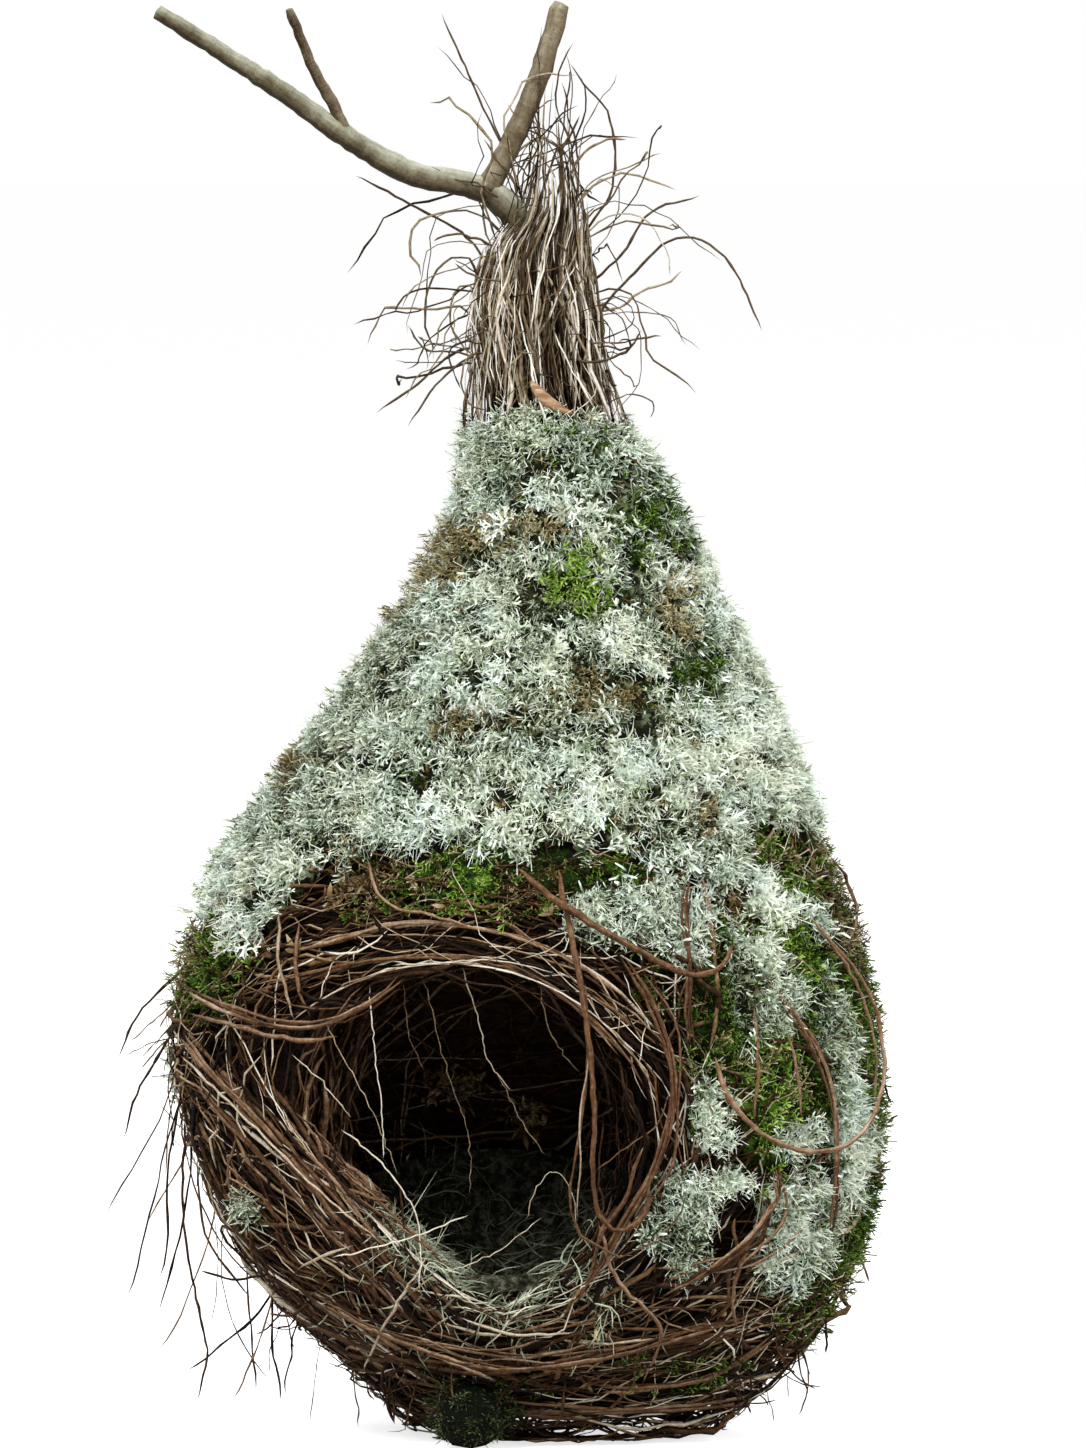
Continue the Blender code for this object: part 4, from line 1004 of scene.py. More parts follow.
SEEN_EDGE = (  # the roof's lower edge on the front: x, height
    (-0.077, 0.1292), (-0.0706, 0.1255), (-0.0608, 0.1225), (-0.0574, 0.1285), (-0.055, 0.135),
    (-0.0491, 0.1412), (-0.0442, 0.142), (-0.0394, 0.141), (-0.0355, 0.145), (-0.0277, 0.1435),
    (-0.0199, 0.1444), (-0.0121, 0.1425), (-0.0063, 0.1446), (0.0025, 0.145), (0.0073, 0.1455),
    (0.0163, 0.1442), (0.0326, 0.1395), (0.0417, 0.1375), (0.048, 0.1362), (0.0505, 0.144),
    (0.0545, 0.15), (0.0655, 0.15),
)
EDGE_BEHIND = (  # and behind: facing in degrees, height
    (20, 0.143), (60, 0.136), (95, 0.131), (130, 0.134), (165, 0.128),
)
# Positive strengths are paler clumps of lichen; negative ones are painted shadow in the hollows of the
# front.
PALE_CLUMPS_AND_PAINTED_SHADOWS = (  # where the front's lichen is palest or darkest: x, height, half sizes, strength
    (-0.036, 0.152, 0.008, 0.0075, 0.26),
    (-0.018, 0.149, 0.011, 0.0065, 0.26),
    (0.022, 0.157, 0.023, 0.011, 0.2),
    (0.018, 0.197, 0.005, 0.013, 0.18),
    (0.0, 0.207, 0.008, 0.005, 0.1),
    (-0.066, 0.133, 0.015, 0.009, 0.16),
    (0.05, 0.162, 0.012, 0.018, 0.22),
    (0.027, 0.056, 0.009, 0.013, -0.08),
    (0.056, 0.113, 0.007, 0.008, 0.14),
    (0.069, 0.085, 0.007, 0.03, 0.08),
    (-0.001, 0.195, 0.006, 0.006, -0.2),
    (0.02, 0.223, 0.01, 0.008, -0.18),
    (-0.038, 0.173, 0.006, 0.007, -0.16),
    (0.033, 0.199, 0.006, 0.008, -0.14),
    (0.008, 0.144, 0.014, 0.004, -0.12),
)
ANTLERS = (  # clusters of antler-like lobes: facing in degrees, height, half size
    (-122, 0.221, 0.006), (-83, 0.223, 0.005), (-98, 0.1945, 0.007), (-136, 0.167, 0.006),
    (-58, 0.13, 0.0055), (-42, 0.132, 0.005), (-146, 0.1215, 0.0055), (-40, 0.205, 0.0045),
    (-30, 0.1985, 0.0045), (-110, 0.156, 0.004), (-20, 0.17, 0.005), (-5, 0.21, 0.005),
    (20, 0.15, 0.006), (40, 0.19, 0.005), (64, 0.22, 0.005), (82, 0.16, 0.006),
    (104, 0.185, 0.005), (128, 0.212, 0.005), (140, 0.148, 0.006), (165, 0.176, 0.005),
    (112, 0.106, 0.006), (-173, 0.19, 0.0045),
)
LICHEN_STOPS = (
    (0.0, (0.008, 0.01, 0.004)),
    (0.14, (0.046, 0.048, 0.02)),
    (0.3, (0.175, 0.207, 0.122)),
    (0.5, (0.43, 0.52, 0.38)),
    (0.72, (0.68, 0.78, 0.64)),
    (1.0, (0.91, 0.96, 0.89)),
)


def growth_finish(name, stops, foot_shade_share, bump, pit_shade=0.0, tinted=0.0):
    """Lichen or moss. A lobe is darker at its foot than at its tip, painted shade among the lobes that is
    partly their real greener base, and each tuft has a tone. It may be speckled with dark pits, painted
    shade in the holes of the felt, and tinted, yellower in places and bluer in others."""
    finish, tree, shader, at = new_finish(name, 0.9)
    lit = weigh(tree, carried(tree, "tip"), foot_shade_share, carried(tree, "tone"))
    mottled = weigh(tree, grain(tree, at, 330.0, 3.0), 0.3, lit)
    if pit_shade:
        pits = remap(tree, grain(tree, at, 620.0, 3.0, 0.65), 0.36, 0.5, -pit_shade, 0.0)
        mottled = reckon(tree, "ADD", mottled, pits)
    colour = ramp(tree, mottled, *stops)
    tint = ramp(tree, grain(tree, at, 75.0, 4.0, 0.7),
                (0.4, (0.97, 1.0, 1.01)), (0.62, (1.03, 1.0, 0.92)))
    colour = node(tree, "ShaderNodeMix", {"Factor": tinted, "A": colour, "B": tint},
                  data_type="RGBA", blend_type="MULTIPLY")
    tree.links.new(colour.outputs["Result"], shader.inputs["Base Color"])
    raise_by(tree, shader, grain(tree, at, 1500.0, 3.0, 0.7), bump, 0.8)
    return finish


def pattern(points, scale):
    """Smooth noise at points, about -0.5 to 0.5."""
    return np.array([noise.noise(Vector(point) * scale) for point in np.asarray(points).tolist()])


seen_edge = np.array(SEEN_EDGE)
edge_facing = np.append(front_angle(*seen_edge.T), np.radians([spot[0] for spot in EDGE_BEHIND]))
edge_height = np.append(seen_edge[:, 1], [spot[1] for spot in EDGE_BEHIND])


def cape_edge(angle):
    """Height of the roof's lower edge: it hangs lowest on the left, and is ragged all round."""
    ragged = 0.0008 * np.sin(13 * angle) + 0.001 * np.sin(29 * angle)
    ragged = ragged + 0.001 * np.sin(53 * angle + 2)
    return np.interp(angle, edge_facing, edge_height, period=2 * math.pi) + ragged


def patch_reach(angle, height, facing, middle, half_width, half_height, variety):
    """How far out points lie in an irregular patch of the wall, 1 at its edge."""
    across = (angle - math.radians(facing) + math.pi) % (2 * math.pi) - math.pi
    x, y = across * wall_section(height)[0] / half_width, (height - middle) / half_height
    turn = np.arctan2(y, x)
    wave = 1 + 0.1 * np.sin(3 * turn + variety) + 0.07 * np.sin(5 * turn + 2 * variety)
    return np.hypot(x, y) / wave


def nearest_reach(angle, height, areas):
    """How far out points lie in the patch that they are deepest in."""
    return np.min([patch_reach(angle, height, *area) for area in areas], axis=0)


def seen_patch(x, height, half_width, half_height, variety):
    """A patch of the front given as it is seen, as patch_reach takes it."""
    facing = float(front_angle(x, height))
    return math.degrees(facing), height, half_width / abs(math.sin(facing)), half_height, variety


def spot_field(angle, height, spots):
    """The sum of soft spots of the front, each with its middle, half sizes and strength."""
    x = wall_points(angle, height, 0.0)[..., 0]
    total = np.zeros(np.shape(x))
    for middle_x, middle_z, half_x, half_z, strength in spots:
        total += strength * np.exp(-((x - middle_x) / half_x) ** 2 - ((height - middle_z) / half_z) ** 2)
    return total * (np.sin(angle) < 0)


def scatter(rng, low, high, spacing):
    """Angles and heights spread evenly over a band of the wall."""
    angles, heights = [], []
    height = low
    while height < high:
        girth = wall_section(height)[0] * (2 * math.pi) * 0.965
        count = max(1, round(girth / spacing))
        turns = np.arange(count) + rng.uniform(0.1, 0.9, count)
        angles.append(-math.pi + 2 * math.pi * turns / count)
        heights.append(height + rng.uniform(-0.45, 0.45, count) * spacing)
        height += spacing / np.hypot(1, wall_slope(height)) * 0.92
    return np.concatenate(angles), np.concatenate(heights)


def wall_outward(angle, height):
    """The direction square to the wall."""
    return unit(wall_points(angle, height, 0.001) - wall_points(angle, height, 0.0))


rng = np.random.default_rng(53)
cushion_angle, cushion_height = scatter(rng, 0.02, CAPE_TOP, CUSHION_SPACING)
cushion_place = wall_points(cushion_angle, cushion_height, 0.0)
cushion_radius = rng.uniform(0.0036, 0.0072, len(cushion_place))
cushion_tone = rng.normal(0, 0.075, len(cushion_place))


def cushions(points):
    """For points on the wall: how high their cushion is there, which it is, and its middle."""
    nearest = np.empty(len(points), int)
    rise = np.empty(len(points))
    for first in range(0, len(points), 2000):
        part = points[first:first + 2000]
        gap = np.linalg.norm(part[:, None] - cushion_place[None], axis=-1) / cushion_radius
        nearest[first:first + 2000] = gap.argmin(axis=1)
        rise[first:first + 2000] = gap.min(axis=1)
    return 1 - np.minimum(rise, 1.3) ** 2, nearest, cushion_place[nearest]


def roof_growth_kind(rng, angle, height):
    """For points on the roof, the number of the moss patch that they lie in, or -1."""
    x = wall_points(angle, height, 0.0)[:, 0]
    kind = np.full(len(angle), -1)
    for k, (middle_x, middle_z, half_x, half_z, _) in enumerate(ROOF_GROWTH):
        turn = np.arctan2(height - middle_z, x - middle_x)
        wave = 1 + 0.2 * np.sin(3 * turn + k) + 0.14 * np.sin(5 * turn + 2 * k)
        wave = wave + rng.normal(0, 0.16, len(angle))
        near = np.hypot((x - middle_x) / half_x, (height - middle_z) / half_z) < wave
        kind[near & (np.sin(angle) < 0)] = k
    return kind


def lichen_tone(angle, height):
    """How pale the lichen is: painted highlight on the tops of its cushions and painted shade in the
    crevices between them, clouds of paler growth, and the front's spots.
    """
    base = wall_points(angle, height, 0.0)
    rise, which, _ = cushions(base)
    clouds = 0.34 * pattern(base, 45) + 0.26 * pattern(base, 130) + 0.3 * pattern(base, 330)
    spots = spot_field(angle, height, PALE_CLUMPS_AND_PAINTED_SHADOWS)
    return 0.465 + 0.25 * np.maximum(rise, -0.6) + clouds + cushion_tone[which] + spots


def add_felt(name, cover, tone, thickness, low, high, finish, slot, *nodes):
    """A felted layer over a band of the wall, with a cover of 0 where it is bare, and 1 inside."""
    girth = 2 * math.pi * (0.075 if high < 0.16 else 0.052)
    columns, rows = round(girth / FELT_STEP), round(1.15 * (high - low) / FELT_STEP)
    shape = bmesh.new()
    bmesh.ops.create_grid(shape, x_segments=columns, y_segments=rows, size=0.5)
    spread = np.array([vert.co[:2] for vert in shape.verts]) + 0.5
    angle = -math.pi + 2 * math.pi * spread[:, 0]
    height = low + (high - low) * spread[:, 1]
    share = cover(angle, height)
    flat = wall_points(angle, height, 0.0)
    rise = np.maximum(cushions(flat)[0], -0.5)
    crumpled = pattern(flat, 260) + 0.7 * pattern(flat, 620)
    lift = -0.002 + (0.002 + thickness + 0.0011 * rise + 0.0013 * crumpled) * np.clip(share, 0, 1) ** 0.5
    places = wall_points(angle, height, lift)
    tones = np.clip(tone(angle, height), 0.05, 0.95)
    # painted shade: the felt is paler on its cushions and folds, darker in its hollows
    tips = np.clip(0.5 + 0.22 * rise + 0.8 * crumpled, 0, 1)
    tone_layer, tip_layer = (shape.verts.layers.float.new(key) for key in ("tone", "tip"))
    for vert, place, tone_here, tip_here in zip(shape.verts, places, tones, tips):
        vert.co = place
        vert[tone_layer], vert[tip_layer] = tone_here, tip_here
    shape.verts.index_update()
    bare = [face for face in shape.faces if all(share[vert.index] <= 0 for vert in face.verts)]
    bmesh.ops.delete(shape, geom=bare, context="FACES")
    bmesh.ops.remove_doubles(shape, verts=shape.verts, dist=1e-5)
    bmesh.ops.recalc_face_normals(shape, faces=shape.faces)
    add_piece(name, closed_mesh(shape, name), finish, slot, *nodes)


UPRIGHT = np.array((0.0, 0.0, 1.0))


def strip(shape, foot, way, lean, curl, length, width, rows, tips=(0.0, 1.0), blunt=1.0):
    """A narrow curled strip from its foot: it leaves at a lean from upright, towards way."""
    tip_layer = shape.verts.layers.float["tip"]
    across = np.cross(UPRIGHT, way)

    def along(t):
        bow = lean + curl * t
        run = (math.cos(lean) - math.cos(bow)) / curl
        climb = (math.sin(bow) - math.sin(lean)) / curl
        return foot + length * (run * way + climb * UPRIGHT), bow

    for vert in bmesh.ops.create_grid(shape, x_segments=1, y_segments=rows, size=0.5)["verts"]:
        t, aside = vert.co.y + 0.5, 2 * vert.co.x
        flare = 0.62 * blunt + (1.5 + 1.6 * (1 - blunt)) * (t - t * t) - 0.05 * blunt * t * t
        place, bow = along(t)
        place = place + 0.5 * width * flare * aside * across
        vert.co = place + 0.15 * width * abs(aside) * (math.cos(bow) * way - math.sin(bow) * UPRIGHT)
        vert[tip_layer] = tips[0] + (tips[1] - tips[0]) * t
    return along(1.0)


def level_way(turn):
    return np.array((math.cos(turn), math.sin(turn), 0.0))


def new_tuft():
    shape = bmesh.new()
    shape.verts.layers.float.new("tip")
    return shape


def tuft_arrays(shape):
    """A template's points, faces, and each point's way to its tip."""
    tip_layer = shape.verts.layers.float["tip"]
    places = np.array([vert.co[:] for vert in shape.verts])
    faces = np.array([[vert.index for vert in face.verts] for face in shape.faces])
    tips = np.array([vert[tip_layer] for vert in shape.verts])
    shape.free()
    return places, faces, tips


def tuft(rng, lobes, rows, stem, spread, lean, length, width, curl, blunt=1.0, whiskers=0):
    """A small tuft of curled lobes, standing up, whose feet lie within a small disc. Thin straight
    whiskers may stand between them."""
    shape = new_tuft()
    for k in range(lobes + whiskers):
        foot = spread * math.sqrt(rng.uniform(0, 1)) * level_way(rng.uniform(0, 2 * math.pi))
        foot[2] = rng.uniform(-0.3, 1.0) * stem
        way = level_way(rng.uniform(0, 2 * math.pi))
        bend = rng.uniform(*curl) * rng.choice((-0.6, 1.0, 1.0))
        reach, broad = rng.uniform(0.6, 1.35) * length, rng.uniform(0.6, 1.4) * width
        tilt = rng.uniform(*lean)
        if k < lobes:
            strip(shape, foot, way, tilt, bend, reach, broad, rows, blunt=blunt)
        else:
            strip(shape, foot, way, tilt, 0.4 * bend, 1.15 * reach, 0.45 * broad, 1, (0.2, 1.0))
    return tuft_arrays(shape)


def antler(rng, lobes, length, width):
    """A tuft of flat lobes that fork twice."""
    shape = new_tuft()
    for _ in range(lobes):
        foot = rng.uniform(0, 0.0012) * level_way(rng.uniform(0, 2 * math.pi))
        turn, lean = rng.uniform(0, 2 * math.pi), rng.uniform(0.3, 1.2)
        ends = [(foot, turn, lean)]
        for stage, share in enumerate((0.42, 0.34, 0.24)):
            grown = []
            for foot, turn, lean in ends:
                reach = length * share * rng.uniform(0.7, 1.3)
                tips = (0.35 + 0.22 * stage, 0.57 + 0.22 * stage)
                end, bow = strip(shape, foot, level_way(turn), lean, rng.uniform(0.1, 0.5), reach,
                                 width * (1 - 0.18 * stage), 1, tips)
                fork = rng.uniform(0.35, 0.75)
                grown += [(end, turn - fork, min(bow, 1.5)), (end, turn + fork, min(bow, 1.5))]
            ends = grown
    return tuft_arrays(shape)


def add_tufts(name, rng, tufts, spots, outs, sizes, tones, finish, slot):
    """Copies of small tufts as one piece: each at its spot, turned at random about its direction."""
    all_places, all_faces, all_tips, all_tones, used = [], [], [], [], 0
    pick = rng.integers(0, len(tufts), len(spots))
    outs = unit(outs)
    side = unit(np.cross(outs, rng.normal(size=outs.shape)))
    frames = np.stack((side, np.cross(outs, side), outs), axis=1) * sizes[:, None, None]
    for k, (places, faces, tips) in enumerate(tufts):
        chosen = pick == k
        count = int(chosen.sum())
        moved = np.einsum("vi,cij->cvj", places, frames[chosen]) + spots[chosen][:, None]
        steps = used + len(places) * np.arange(count)
        all_places.append(moved.reshape(-1, 3))
        all_faces.append((faces[None] + steps[:, None, None]).reshape(-1, 4))
        all_tips.append(np.tile(tips, count))
        all_tones.append(np.repeat(tones[chosen], len(places)))
        used += count * len(places)
    mesh = bpy.data.meshes.new(name)
    mesh.from_pydata(np.concatenate(all_places), [], np.concatenate(all_faces))
    for key, values in (("tip", all_tips), ("tone", all_tones)):
        layer = mesh.attributes.new(key, "FLOAT", "POINT")
        layer.data.foreach_set("value", np.concatenate(values).astype(np.float32))
    add_piece(name, mesh, finish, slot)


lichen_areas = [patch[1:] for patch in LICHEN_PATCHES]
lichen_areas += [seen_patch(*patch, k + 10) for k, patch in enumerate(SEEN_LICHEN)]


def patch_cover(areas, soft=0.3):
    """Cover of irregular patches, for add_felt."""
    def cover(angle, height):
        return np.clip((1.05 - nearest_reach(angle, height, areas)) / soft, 0, 1)
    return cover


def cape_cover(angle, height):
    growth = np.clip((height - cape_edge(angle)) / 0.005, 0, 1)
    return growth * np.clip((CAPE_TOP - height) / 0.004, 0, 1)


felt_finish = growth_finish("lichen_felt", LICHEN_STOPS, 0.6, 0.0012, pit_shade=0.8, tinted=1.0)
under_moss = [(*spot[:4], -0.5) for spot in ROOF_GROWTH]
# painted shade: the felt under the tufts is much darker than they are, so the gaps between tufts read as
# shade
add_felt("lichen_mat", cape_cover, lambda a, h: lichen_tone(a, h) - 0.5 + spot_field(a, h, under_moss),
         FELT_THICK, CAPE_FOOT, CAPE_TOP, felt_finish, "lichen", "lichen_cape")
add_felt("lichen_cushions_below", patch_cover(lichen_areas), lambda a, h: lichen_tone(a, h) - 0.32,
         FELT_THICK - 0.0004, *BELOW_ROOF, felt_finish, "lichen", *[patch[0] for patch in LICHEN_PATCHES])

lichen_finish = growth_finish("lichen_lobes", LICHEN_STOPS, 0.84, 0.0003, tinted=1.0)
frills = [tuft(rng, 9, 2, 0.0009, 0.0019, (0.2, 1.5), 0.0023, 0.00044, (1.0, 3.2), whiskers=12)
          for _ in range(16)]
plain_frills = [tuft(rng, 7, 2, 0.0009, 0.0019, (0.2, 1.5), 0.0026, 0.00066, (0.8, 2.8))
                for _ in range(10)]
antlers = [antler(rng, 5, 0.0038, 0.00075) for _ in range(8)]

angle, height = scatter(rng, CAPE_FOOT, CAPE_TOP, TUFT_SPACING)
keep = height > cape_edge(angle) + rng.normal(0, 0.0022, len(angle))
angle, height = angle[keep], height[keep]
rise = cushions(wall_points(angle, height, 0.0))[0]
bare = rng.random(len(angle)) > np.clip(0.5 + 1.1 * rise, 0.16, 1)
crevice_angle, crevice_height = angle[bare], height[bare]
angle, height = angle[~bare], height[~bare]
roof_kind = roof_growth_kind(rng, angle, height)
deep_here = np.array([patch[4] == "deep" for patch in ROOF_GROWTH])[roof_kind]
roof_kind[rng.random(len(angle)) < np.where(deep_here, 0.28, 0.05)] = -1
roof_angle, roof_height = angle[roof_kind >= 0], height[roof_kind >= 0]
roof_kind_here = roof_kind[roof_kind >= 0]
angle, height = angle[roof_kind < 0], height[roof_kind < 0]
more_angle, more_height = scatter(rng, *BELOW_ROOF, TUFT_SPACING)
reach = nearest_reach(more_angle, more_height, lichen_areas)
inside = reach < 1.05 + rng.normal(0, 0.08, len(reach))
angle, height = np.append(angle, more_angle[inside]), np.append(height, more_height[inside])


def add_lichen(name, tufts, angle, height, paler=0.0, lift=0.0):
    base = wall_points(angle, height, 0.0)
    rise, which, middle = cushions(base)
    aside = (base - middle) / cushion_radius[which][:, None]
    outs = wall_outward(angle, height) + 0.32 * aside + rng.normal(0, 0.42, base.shape) - (0, 0, 0.18)
    spots = wall_points(angle, height, lift + 0.0014 + CUSHION_RISE * np.maximum(rise, -0.35))
    sizes = rng.uniform(0.75, 1.3, len(spots)) * (0.94 + 0.18 * rise)
    tones = lichen_tone(angle, height) + paler + rng.normal(0, 0.09, len(spots)) - 0.07 * (height < 0.118)
    tones = np.clip(tones, 0.06, 0.98)
    add_tufts(name, rng, tufts, spots, outs, sizes, tones, lichen_finish, "lichen")


behind, high = np.sin(angle) > 0.12, height > HIGH_ON_ROOF
for name, tufts, chosen in (
    ("lichen_frills_high", frills, high & ~behind),
    ("lichen_frills_low", frills, ~high & ~behind),
    ("lichen_frills_behind", plain_frills, behind),
):
    add_lichen(name, tufts, angle[chosen], height[chosen])

antler_angle, antler_height = [], []
for facing, middle, half in ANTLERS:
    turn, reach = rng.uniform(0, 2 * math.pi, 9), half * np.sqrt(rng.uniform(0, 1, 9))
    antler_angle.append(math.radians(facing) + reach * np.cos(turn) / wall_section(middle)[0])
    antler_height.append(middle + 0.8 * reach * np.sin(turn))
antler_angle, antler_height = np.concatenate(antler_angle), np.concatenate(antler_height)
add_lichen("lichen_antlers", antlers, antler_angle, antler_height, 0.16, 0.0004)

THREADS_ON_LICHEN = 560
angle, height = scatter(rng, 0.125, CAPE_TOP - 0.004, 0.006)
chosen = rng.permutation(np.flatnonzero(height > cape_edge(angle)))[:THREADS_ON_LICHEN]
angle, height = angle[chosen], height[chosen]
spots = wall_points(angle, height, rng.uniform(0.0028, 0.005, len(angle)))
routes = curly_threads(rng, spots, wall_outward(angle, height), 0.0075, 0.9, 6)
radii = strand_radii(rng, len(routes), 6, ((0.8, 0.00009, 0.00014), (0.2, 0.00014, 0.0002)))
tones = np.clip(rng.normal(0.66, 0.2, len(routes)), 0.15, 1.0)
add_strands("lichen_threads", routes, radii, tones, lining_finish, "lichen")


# Moss grows where the wall is damp: feathery green shoots in patches at the sides, dry and brown
# above the entrance and through the lichen, and in a ragged tuft that trails from the foot.
MOSS_PATCHES = (  # name, facing in degrees, height, half width, half height, variety
    ("moss_patch_left", -163, 0.1165, 0.024, 0.005, 8),
    ("moss_patch_front", -104, 0.135, 0.012, 0.0036, 9),
    ("moss_patch_right_top", -26, 0.1285, 0.015, 0.008, 10),
    ("moss_patch_right", -41, 0.08, 0.0085, 0.015, 11),
    ("moss_patch_right_low", -8, 0.044, 0.013, 0.008, 12),
    ("moss_patch_right_side", 12, 0.096, 0.015, 0.026, 13),
    ("moss_patch_back", 62, 0.088, 0.022, 0.026, 14),
)
MOSS_CARPET = (  # where moss closes over the weave: facing, height, half width, half height, variety
    (-30, 0.098, 0.032, 0.045, 15),
    (-92, 0.1385, 0.03, 0.0056, 21),
    (2, 0.09, 0.033, 0.052, 16),
    (-54, 0.108, 0.009, 0.018, 17),
    (-104, 0.1375, 0.015, 0.005, 18),
    (-163, 0.115, 0.024, 0.007, 19),
    (62, 0.088, 0.023, 0.028, 20),
)
THIN_MOSS = (  # moss that grows thinly through the weave: facing, height, half sizes, share
    (-62, 0.105, 0.012, 0.028, 0.5),
    (-96, 0.135, 0.033, 0.0066, 0.75),
    (-119, 0.134, 0.011, 0.0066, 0.85),
    (-160, 0.112, 0.024, 0.012, 0.5),
    (-12, 0.04, 0.03, 0.02, 0.4),
    (75, 0.09, 0.034, 0.044, 0.45),
    (150, 0.115, 0.026, 0.016, 0.45),
    (-60, 0.018, 0.02, 0.006, 0.3),
    (-115, 0.014, 0.016, 0.006, 0.35),
)
MOSS_GLOW = (  # where the front's moss is brightest or darkest: x, height, half sizes, strength
    (0.062, 0.131, 0.009, 0.008, 0.14),
    (0.05, 0.086, 0.008, 0.02, 0.2),
    (-0.074, 0.115, 0.008, 0.008, 0.12),
    (-0.019, 0.139, 0.013, 0.005, 0.26),
    (0.06, 0.102, 0.004, 0.02, 0.14),
    (0.035, 0.098, 0.007, 0.024, -0.16),
    (0.04, 0.068, 0.014, 0.006, -0.18),
    (0.074, 0.048, 0.008, 0.012, 0.12),
)
DRY_MOSS = (  # where the front's moss is dry and brown: x, height, half sizes, share
    (-0.037, 0.1345, 0.0085, 0.007, 1.0),
    (-0.001, 0.1375, 0.008, 0.008, 0.8),
    (0.01, 0.124, 0.008, 0.008, 0.5),
    (-0.082, 0.116, 0.004, 0.012, 0.9),
    (0.04, 0.11, 0.006, 0.008, 0.5),
    (0.072, 0.124, 0.004, 0.02, 0.7),
)
SHOOT_SPACING = 0.0019
ROOF_SHOOTS = 4  # in place of each tuft of lichen
MOSS_STOPS = (
    (0.0, (0.005, 0.008, 0.002)),
    (0.24, (0.014, 0.03, 0.003)),
    (0.46, (0.05, 0.108, 0.009)),
    (0.7, (0.145, 0.28, 0.024)),
    (1.0, (0.4, 0.55, 0.13)),
)
BROWN_STOPS = (
    (0.0, (0.01, 0.006, 0.003)),
    (0.28, (0.062, 0.04, 0.013)),
    (0.52, (0.165, 0.13, 0.052)),
    (0.78, (0.36, 0.31, 0.15)),
    (1.0, (0.62, 0.57, 0.36)),
)
moss_finish = growth_finish("moss_shoots", MOSS_STOPS, 0.6, 0.0002)
brown_finish = growth_finish("dry_moss", BROWN_STOPS, 0.6, 0.0002)

rng = np.random.default_rng(67)
moss_areas = [patch[1:] for patch in MOSS_PATCHES] + list(MOSS_CARPET)


def moss_allowed(angle, height):
    """1 on the wall outside the mouth and below the roof's edge, 0 elsewhere."""
    x = wall_points(angle, height, 0.0)[..., 0]
    open_mouth = (np.sin(angle) < 0) & (mouth_distance(x, height) < 0.006)
    return ~open_mouth & (height < cape_edge(angle) + 0.003)


def moss_cover(angle, height):
    return patch_cover(moss_areas, 0.25)(angle, height) * moss_allowed(angle, height)


def moss_tone(angle, height):
    base = wall_points(angle, height, 0.0)
    clouds = 0.34 * pattern(base, 60) + 0.22 * pattern(base, 170)
    return 0.33 + clouds + spot_field(angle, height, MOSS_GLOW)


moss_felt = growth_finish("moss_felt", MOSS_STOPS, 0.5, 0.0012, pit_shade=0.45)
add_felt("moss_carpet", moss_cover, lambda a, h: moss_tone(a, h) - 0.24, 0.0008, *BELOW_ROOF,
         moss_felt, "moss", *[patch[0] for patch in MOSS_PATCHES])

shoots = [tuft(rng, 8, 1, 0.0028, 0.0006, (0.1, 1.1), 0.0016, 0.00042, (0.3, 0.9)) for _ in range(10)]
moss_angle, moss_height = scatter(rng, 0.01, 0.15, SHOOT_SPACING)
reach = nearest_reach(moss_angle, moss_height, moss_areas)
in_moss = reach < 1.02 + rng.normal(0, 0.1, len(reach))
for k, (*area, share) in enumerate(THIN_MOSS):
    here = patch_reach(moss_angle, moss_height, *area, k) < 1
    in_moss |= here & (rng.random(len(moss_angle)) < share)
in_moss &= moss_allowed(moss_angle, moss_height)
under_lichen = nearest_reach(moss_angle, moss_height, lichen_areas) < 0.85
in_moss &= ~(under_lichen & (rng.random(len(moss_angle)) < 0.85))
moss_angle, moss_height = moss_angle[in_moss], moss_height[in_moss]


def add_moss(name, finish, angle, height, lift, tones):
    outs = wall_outward(angle, height) + rng.normal(0, 0.4, (len(angle), 3)) + (0, 0, 0.15)
    spots = wall_points(angle, height, lift + rng.uniform(-0.0006, 0.0012, len(angle)))
    sizes = rng.uniform(0.7, 1.35, len(angle))
    add_tufts(name, rng, shoots, spots, outs, sizes, tones, finish, "moss")


right_edge = np.clip(np.cos(moss_angle - math.radians(5)) * 6 - 5.2, 0, 1)
patchy = pattern(wall_points(moss_angle, moss_height, 0.0), 70)
dryness = 0.03 + spot_field(moss_angle, moss_height, DRY_MOSS) + 0.44 * right_edge + 1.0 * patchy
dry = rng.random(len(moss_angle)) < dryness
tones = np.clip(moss_tone(moss_angle, moss_height) + 0.08 + rng.normal(0, 0.1, len(dry)), 0.08, 0.95)
add_moss("moss_shoots", moss_finish, moss_angle[~dry], moss_height[~dry], 0.001, tones[~dry])
add_moss("dry_moss_shoots", brown_finish, moss_angle[dry], moss_height[dry], 0.001, tones[dry] + 0.06)

